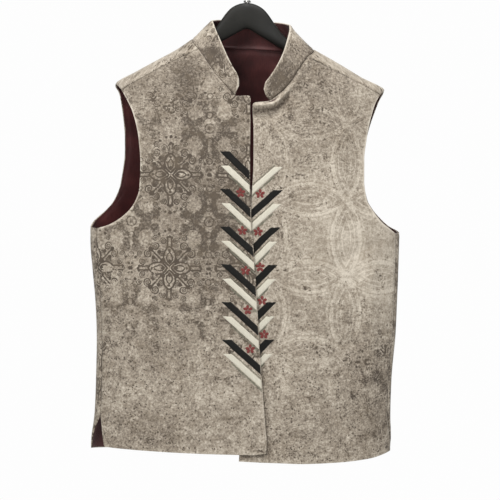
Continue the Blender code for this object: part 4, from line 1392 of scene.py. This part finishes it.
def tinted(tree, share, stops):
    """A colour from a ramp of (place, colour in sRGB from 0 to 255)."""
    made = tree.nodes.new("ShaderNodeValToRGB")
    feed(tree, made.inputs["Fac"], share)
    elements = made.color_ramp.elements
    while len(elements) < len(stops):
        elements.new(0.5)
    for element, (place, colour) in zip(elements, stops):
        element.position = place
        element.color = linear(colour)
    return Wire(tree, made.outputs["Color"])


def linear(colour):
    """A colour in sRGB from 0 to 255 as linear light, opaque."""
    return [c / 255 / 12.92 if c <= 10 else ((c / 255 + 0.055) / 1.055) ** 2.4 for c in colour] + [1]


def blended(tree, share, first, second):
    """The first colour going over to the second, in sRGB from 0 to 255."""
    slots = {0: share, 6: first, 7: linear(second)}
    return node(tree, "Mix", 2, slots.items(), data_type="RGBA")


def surface(tree, shader, colour, roughness, height, depth, **values):
    """Feeds a shader its colour, roughness, bump with this depth in metres for 1, and plain values."""
    bump = node(tree, "Bump", "Normal", {"Distance": depth, "Height": height}.items())
    for name, value in {"Base Color": colour, "Roughness": roughness, "Normal": bump}.items():
        feed(tree, shader.inputs[name], value)
    for name, value in values.items():
        shader.inputs[SHADER_SLOTS[name]].default_value = value


SHADER_SLOTS = {
    "specular": "Specular IOR Level",
    "sheen": "Sheen Weight",
    "sheen_roughness": "Sheen Roughness",
    "sheen_tint": "Sheen Tint",
    "metallic": "Metallic",
}


def twill(u, v, pitch, lean=1.0):
    """Woven yarns: a diagonal rib crossed by its threads, from -1 to 1. Centimetres."""
    turn = 2 * math.pi / pitch
    rib = ((u + v * lean) * turn).math("SINE")
    thread = ((u - v * lean) * (turn * 0.5)).math("SINE")
    return rib * 0.7 + rib * thread * 0.3


def spiral(place, x, y, radius, way, tight=0.75):
    """A scroll that winds in to x, y."""
    right, up, _ = parts(place)
    reach = away(place, x, y)
    turn = (up - y).math("ARCTAN2", right - x) * (way / (2 * math.pi))
    wound = (reach / radius + 0.02).math("LOGARITHM", math.e) * (-1 / tight) + turn
    arm = ((wound + 0.5).math("FRACT") - 0.5).abs().fade(0.16, 0.30)
    return arm * reach.fade(radius * 0.98, radius * 1.12)


# Repeat and place of the rosettes and of the petals, in centimetres
PRINT_REPEAT = (12.4, 14.95)
PRINT_AT = (-13.05, -35.35)
LATTICE_REPEAT = 12.4
LATTICE_AT = (15.6, -51.4)
CLOTH_TONES = ((0.0, (212, 202, 186)), (0.28, (182, 171, 155)), (0.58, (143, 132, 118)), (1.0, (82, 73, 64)))
LINING_TONES = ((0.0, (50, 21, 20)), (0.5, (68, 28, 27)), (1.0, (86, 39, 37)))
PLASTIC_TONES = ((0.0, (18, 17, 14)), (0.5, (25, 24, 20)), (1.0, (35, 33, 28)))
STEEL_TONES = ((0.0, (150, 148, 145)), (1.0, (205, 203, 200)))
FLOOR_TONES = ((0.0, (236, 236, 235)), (1.0, (246, 246, 245)))
# Heights in centimetres over which the stained foot of the jacket ends
FOOT_HEIGHTS = (-70.0, -50.0)
# Width of one strand of thread
STRAND = 0.00075
# Drops of the print: along the arm and beside it, radius
DROPS = (
    (1.15, 0.0, 0.17), (2.78, 0.0, 0.14), (1.35, 1.05, 0.17), (5.02, 0.0, 0.17), (4.86, 0.34, 0.14),
    (2.62, 1.72, 0.22), (3.02, 3.02, 0.3), (5.45, 1.75, 0.16), (6.1, 0.0, 0.2), (5.95, 0.75, 0.12),
)
# Scrolls of the print: along the arm and beside it, radius, turning sense
SCROLLS = ((3.42, 2.28, 0.66, 1), (2.30, 1.22, 0.46, -1), (4.28, 1.02, 0.50, 1), (4.78, 2.28, 0.46, -1))


def scrolls(u, v):
    """Dark, middle and light shares of a print of eight-armed rosettes, scrolls and leaves. Centimetres."""
    half_u, half_v = (repeat / 2 for repeat in PRINT_REPEAT)
    across, along = (u - PRINT_AT[0]).fold(half_u), (v - PRINT_AT[1]).fold(half_v)
    most, least = across.most(along), across.least(along)
    arms = vector(u.tree, most, least, 0.0)
    cell = vector(u.tree, across, along, 0.0)
    ahead, aside = (most + least) * 0.7071, (most - least) * 0.7071
    dark = (away(arms, 1.87, -0.75) - 1.70).stroke(0.07, 0.10)
    for x, y, size in DROPS:
        dark = dark.most(dot(arms, x, y, size, size + 0.12))
    dark = dark.most((away(arms, 1.62, -0.62) - 1.06).stroke(0.05, 0.09))
    bars = (least - 0.32).stroke(0.06, 0.09) * most.ramp(3.25, 3.45) * most.fade(4.6, 4.8)
    stems = aside.stroke(0.06, 0.10) * ahead.ramp(1.1, 1.4) * ahead.fade(4.1, 4.4)
    stems = stems.most((aside - 0.22).stroke(0.06, 0.10) * ahead.ramp(0.2, 0.4) * ahead.fade(1.2, 1.5))
    dark = dark.most(bars).most(stems)
    for scroll in SCROLLS:
        dark = dark.most(spiral(arms, *scroll))
    shade = dot(arms, 2.45, 1.30, 0.4, 0.8).most(dot(arms, 3.9, 0.75, 0.45, 0.8) * 0.6)
    crumb = grain(vector(u.tree, u, v, 0.0), 1.3, 2.0)
    blot = away(vector(u.tree, across, along * 0.86, 0.0), 3.75, 4.05) + crumb * 0.42
    leaf_ring = (blot - 1.75).stroke(0.36, 0.22) * (across + along).ramp(7.2, 8.2)
    slip = (along - half_v).stroke(0.24, 0.1) * (across - 3.9).stroke(0.9, 0.2)
    leaf = dot(cell, 2.35, 6.35, 0.66, 0.84).most(dot(cell, 5.45, 3.30, 0.62, 0.80))
    middle = leaf_ring.most(slip * 0.8).most(leaf).most(shade * 0.7)
    knots = (away(cell, half_u, half_v) - 0.75).stroke(0.06, 0.1).most(dot(cell, half_u, half_v, 0.2, 0.35))
    for place, radius in ((5.35, 0.5), (2.2, 0.45)):
        knots = knots.most((away(cell, half_u, place) - radius).stroke(0.05, 0.1))
    light = blot.ramp(0.5, 1.35, 0.30, 0.0).most(dot(cell, half_u, 6.4, 0.3, 0.8) * 0.6)
    light = light.most(aside.stroke(0.08, 0.05) * ahead.ramp(0.1, 0.2) * ahead.fade(0.9, 1.1))
    light = light.most(dot(arms, 2.45, 0.0, 0.28, 0.50) * 0.9)
    return dark.most(knots * 0.36), middle, light


def petals(u, v):
    """Light share of a lattice of overlapping rings drawn as nested petals. Centimetres."""
    half = LATTICE_REPEAT / 2
    across, along = (u - LATTICE_AT[0] + half).fold(half), (v - LATTICE_AT[1] + half).fold(half)
    most, least = across.most(along), across.least(along)
    ring = half * math.sqrt(2)
    at = vector(u.tree, most, least, 0.0)
    outer = away(at, LATTICE_REPEAT, 0.0)
    nested = (outer - ring).fold(0.36).ramp(0.20, 0.36) * outer.ramp(ring - 2.3, ring - 2.2)
    nested = nested * outer.fade(ring + 0.05, ring + 0.15)
    edge = (outer - ring).stroke(0.14, 0.12)
    hub = dot(at, half, half, 0.5, 0.8)
    band = (outer - ring - 0.62).stroke(0.12, 0.12) * 0.6
    return nested.most(edge).most(hub).most(band)


def brocade():
    """Printed jacket cloth: worn rosettes and petals in taupe over a matte twill."""
    material, tree, shader = new_material("jacket_brocade")
    across, up, shift = attribute(tree, "cut")
    # The third tone value is the print's wash, with painted shade, shadow and highlight added to it
    scroll, lattice, wash_and_painted_light = attribute(tree, "tone")
    u, v = across * 100.0 + shift, up * 100.0 + shift * 0.7
    place = vector(tree, u, v, shift)
    cloud, stain = grain(place, 0.22, 3.0, 0.6), grain(place, 0.42, 3.0, 0.6)
    blotch, fleck = grain(place, 0.95, 2.0, 0.6), grain(place, 9.0, 1.0)
    clot, mottle = grain(place, 1.8, 2.0, 0.6), grain(place, 3.1, 2.0, 0.65)
    waver = blotch * 0.20
    dark, middle, light = scrolls(u + waver, v - waver + mottle * 0.06)
    worn = (scroll + stain * 1.1 + mottle * 0.45).ramp(0.10, 0.62)
    tone = wash_and_painted_light + cloud * 0.42 + blotch * 0.55
    tone = tone + (mottle + clot * 0.6) * (wash_and_painted_light * 0.95 + 0.42).least(0.95) + fleck * 0.50
    foot = v.fade(*FOOT_HEIGHTS)
    tone = tone + foot * (stain * 0.60 + clot * 0.12 - 0.045)
    tone = tone + worn * (dark * 1.60 + middle * 0.50 - light * 0.40)
    tone = tone - petals(u - waver, v + waver) * (lattice + blotch * 0.6).ramp(0.05, 0.75) * 0.36
    patches = (grain(place, 0.5, 2.0) + blotch * 0.4 + wash_and_painted_light * 0.5 + foot * 0.16).ramp(0.20, 0.52)
    tone = tone + spots(place, 1.9, 0.17, 0.14) * patches * (foot * 0.30 + 0.62)
    tone = tone - spots(place, 3.1, 0.14, 0.14) * 0.20
    colour = tinted(tree, tone * 0.62 + 0.19, CLOTH_TONES)
    warm = blended(tree, (cloud * 0.5 + blotch * 0.6).ramp(-0.2, 0.5, 0.0, 0.22), colour, (150, 134, 112))
    rough = mottle * 0.05 + tone * 0.06 + 0.80
    height = twill(u, v, 0.11) * 0.35 + mottle * 0.5 + fleck * 0.4
    sheen = {"sheen": 0.18, "sheen_roughness": 0.45, "sheen_tint": (0.95, 0.92, 0.86, 1)}
    surface(tree, shader, warm, rough, height, 0.00016, specular=0.25, **sheen)
    return material


def satin():
    """Maroon lining with a fine diagonal weave and soft crush marks."""
    material, tree, shader = new_material("lining_satin")
    across, up, shift = attribute(tree, "cut")
    u, v = across * 100.0, up * 100.0
    cloud = grain(vector(tree, u, v, shift), 0.35, 3.0)
    streak = grain(vector(tree, u * 6.0, v * 0.7, shift), 1.0, 2.0)
    colour = tinted(tree, cloud * 0.7 + streak * 0.35 + 0.5, LINING_TONES)
    rough = cloud * 0.10 + streak * 0.05 + 0.46
    height = twill(u, v, 0.07) * 0.35 + cloud * 1.5 + streak * 0.3
    surface(tree, shader, colour, rough, height, 0.00018, specular=0.35, sheen=0.10)
    return material


def thread(name, tones, sheen=0.12):
    """Satin stitch: close threads side by side along a bar."""
    material, tree, shader = new_material(name)
    along, side, seed = attribute(tree, "cut")
    rough = grain(vector(tree, along * 100.0, side * 100.0, seed), 14.0, 2.0)
    slub = grain(vector(tree, along * 1400.0, side * 120.0, seed), 1.0, 1.0)
    strands = ((along + side * 0.25) * (2 * math.pi / STRAND) + rough * 1.2).math("SINE")
    colour = tinted(tree, strands * 0.16 + slub * 0.35 + rough * 0.30 + 0.5, tones)
    roughness = strands * 0.06 + rough * 0.10 + 0.50
    surface(tree, shader, colour, roughness, strands * 0.6 + slub * 0.5, 0.00020, specular=0.30, sheen=sheen)
    return material


def moulded():
    """Charcoal moulded plastic with a fine grain, faint flow marks and rubbed patches."""
    material, tree, shader = new_material("hanger_plastic_grained")
    place = node(tree, "TexCoord", "Object")
    cloud, fine, speck = grain(place, 18.0, 3.0), grain(place, 900.0, 2.0), grain(place, 260.0, 2.0)
    colour = tinted(tree, cloud * 0.6 + speck * 0.4 + 0.5, PLASTIC_TONES)
    rough = cloud * 0.18 + speck * 0.12 + 0.58
    surface(tree, shader, colour, rough, fine * 0.6 + speck * 0.6 + cloud * 2.0, 0.00010, specular=0.3)
    return material


def brushed():
    """Drawn steel wire with fine marks and faint tarnish."""
    material, tree, shader = new_material("hook_steel_brushed")
    place = node(tree, "TexCoord", "Object")
    cloud, fine = grain(place, 60.0, 3.0), grain(place, 1400.0, 2.0)
    colour = tinted(tree, cloud * 0.6 + fine * 0.3 + 0.5, STEEL_TONES)
    rough = cloud * 0.12 + fine * 0.10 + 0.30
    surface(tree, shader, colour, rough, fine + cloud * 0.5, 0.00004, metallic=1.0)
    return material


JACKET, LINING, PLASTIC, STEEL = brocade(), satin(), moulded(), brushed()
THREADS = {
    "black": thread("thread_black", ((0.0, (5, 5, 3)), (1.0, (26, 24, 19))), sheen=0.02),
    "cream": thread("thread_cream", ((0.0, (206, 198, 178)), (1.0, (246, 241, 224)))),
    "sage": thread("thread_sage", ((0.0, (92, 94, 78)), (1.0, (150, 148, 128)))),
    "red": thread("thread_red", ((0.0, (92, 32, 30)), (1.0, (150, 70, 64)))),
}


def build():
    """All the pieces, with what each hangs from."""
    pieces = make_fronts(JACKET, LINING) | make_back(JACKET, LINING) | make_collar(JACKET, LINING)
    threads = make_embroidery(pieces)
    hanger = make_hanger(PLASTIC)
    hook, ferrule = make_hook(STEEL)
    for obj in (*pieces.values(), *threads, hanger, hook, ferrule):
        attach(obj, "root")


build()


CAMERA_LENS = 91.36
CAMERA_PLACE = (-0.2098, -2.0885, -0.4724)
CAMERA_AIM = (0.0097, 0, -0.4724)
CAMERA_ROLL = math.radians(0.7)
BACKDROP_RADIUS = 12.0
FLOOR_RADIUS = 2.0
FLOOR_HEIGHT = -1.30
WORLD_LIGHT = 0.31
# Name, place, size and power
LIGHTS = (
    ("key", (-1.1, -2.1, 0.5), 0.9, 35),
    ("top", (0.15, -0.75, 1.3), 0.5, 20),
    ("fill", (1.6, -1.8, -0.5), 1.4, 7),
    ("back", (0.4, 2.2, 0.7), 1.6, 24),
)


def set_camera():
    """The photo's view."""
    data = bpy.data.cameras.new("camera")
    data.lens = CAMERA_LENS
    data.sensor_width = 36
    camera = placed("camera", data)
    camera.location = CAMERA_PLACE
    aim = Vector(CAMERA_AIM) - camera.location
    turn = aim.to_track_quat("-Z", "Y").to_matrix() @ Matrix.Rotation(CAMERA_ROLL, 3, "Z")
    camera.rotation_euler = turn.to_euler()
    bpy.context.scene.camera = camera


def area_light(name, place, aim, size, power):
    """A round soft light."""
    data = bpy.data.lights.new(name, "AREA")
    data.shape = "DISK"
    data.size = size
    data.energy = power
    light = placed(name, data)
    light.location = place
    light.rotation_euler = (Vector(aim) - Vector(place)).to_track_quat("-Z", "Y").to_euler()


def set_stage():
    """Soft studio light, a pale floor and a white backdrop all round that lights nothing."""
    scene = bpy.context.scene
    scene.view_settings.view_transform = "Standard"
    world = bpy.data.worlds.new("studio")
    world.use_nodes = True
    background = world.node_tree.nodes["Background"]
    background.inputs["Color"].default_value = (0.98, 0.99, 1.0, 1)
    background.inputs["Strength"].default_value = WORLD_LIGHT
    scene.world = world
    for name, place, size, power in LIGHTS:
        area_light(name, place, (0, 0, -0.45), size, power)
    white, tree, shader = new_material("backdrop_white")
    tree.nodes.remove(shader)
    glow = tree.nodes.new("ShaderNodeEmission")
    glow.inputs["Color"].default_value = (0.985, 0.985, 0.985, 1)
    tree.links.new(glow.outputs[0], tree.nodes["Material Output"].inputs["Surface"])
    bm = bmesh.new()
    bmesh.ops.create_uvsphere(bm, u_segments=48, v_segments=24, radius=BACKDROP_RADIUS)
    backdrop = stage_piece("backdrop", bm, white)
    for kind in ("diffuse", "glossy", "transmission", "volume_scatter", "shadow"):
        setattr(backdrop, f"visible_{kind}", False)
    pale, tree, shader = new_material("floor_pale")
    place = node(tree, "TexCoord", "Object")
    tone = grain(place, 2.0, 3.0) * 0.3 + grain(place, 60.0, 2.0) * 0.3 + 0.5
    feed(tree, shader.inputs["Base Color"], tinted(tree, tone, FLOOR_TONES))
    feed(tree, shader.inputs["Roughness"], tone * 0.1 + 0.7)
    bm = bmesh.new()
    radii = {"radius1": FLOOR_RADIUS, "radius2": FLOOR_RADIUS}
    bmesh.ops.create_cone(bm, cap_ends=True, segments=96, depth=0.02, **radii)
    bmesh.ops.translate(bm, verts=bm.verts, vec=(0, 0, FLOOR_HEIGHT - 0.01))
    stage_piece("floor", bm, pale)


def stage_piece(name, bm, material):
    """A piece of the studio, which isn't part of the object."""
    mesh = bpy.data.meshes.new(name)
    bm.to_mesh(mesh)
    bm.free()
    mesh.materials.append(material)
    obj = placed(name, mesh)
    return obj


set_camera()
set_stage()
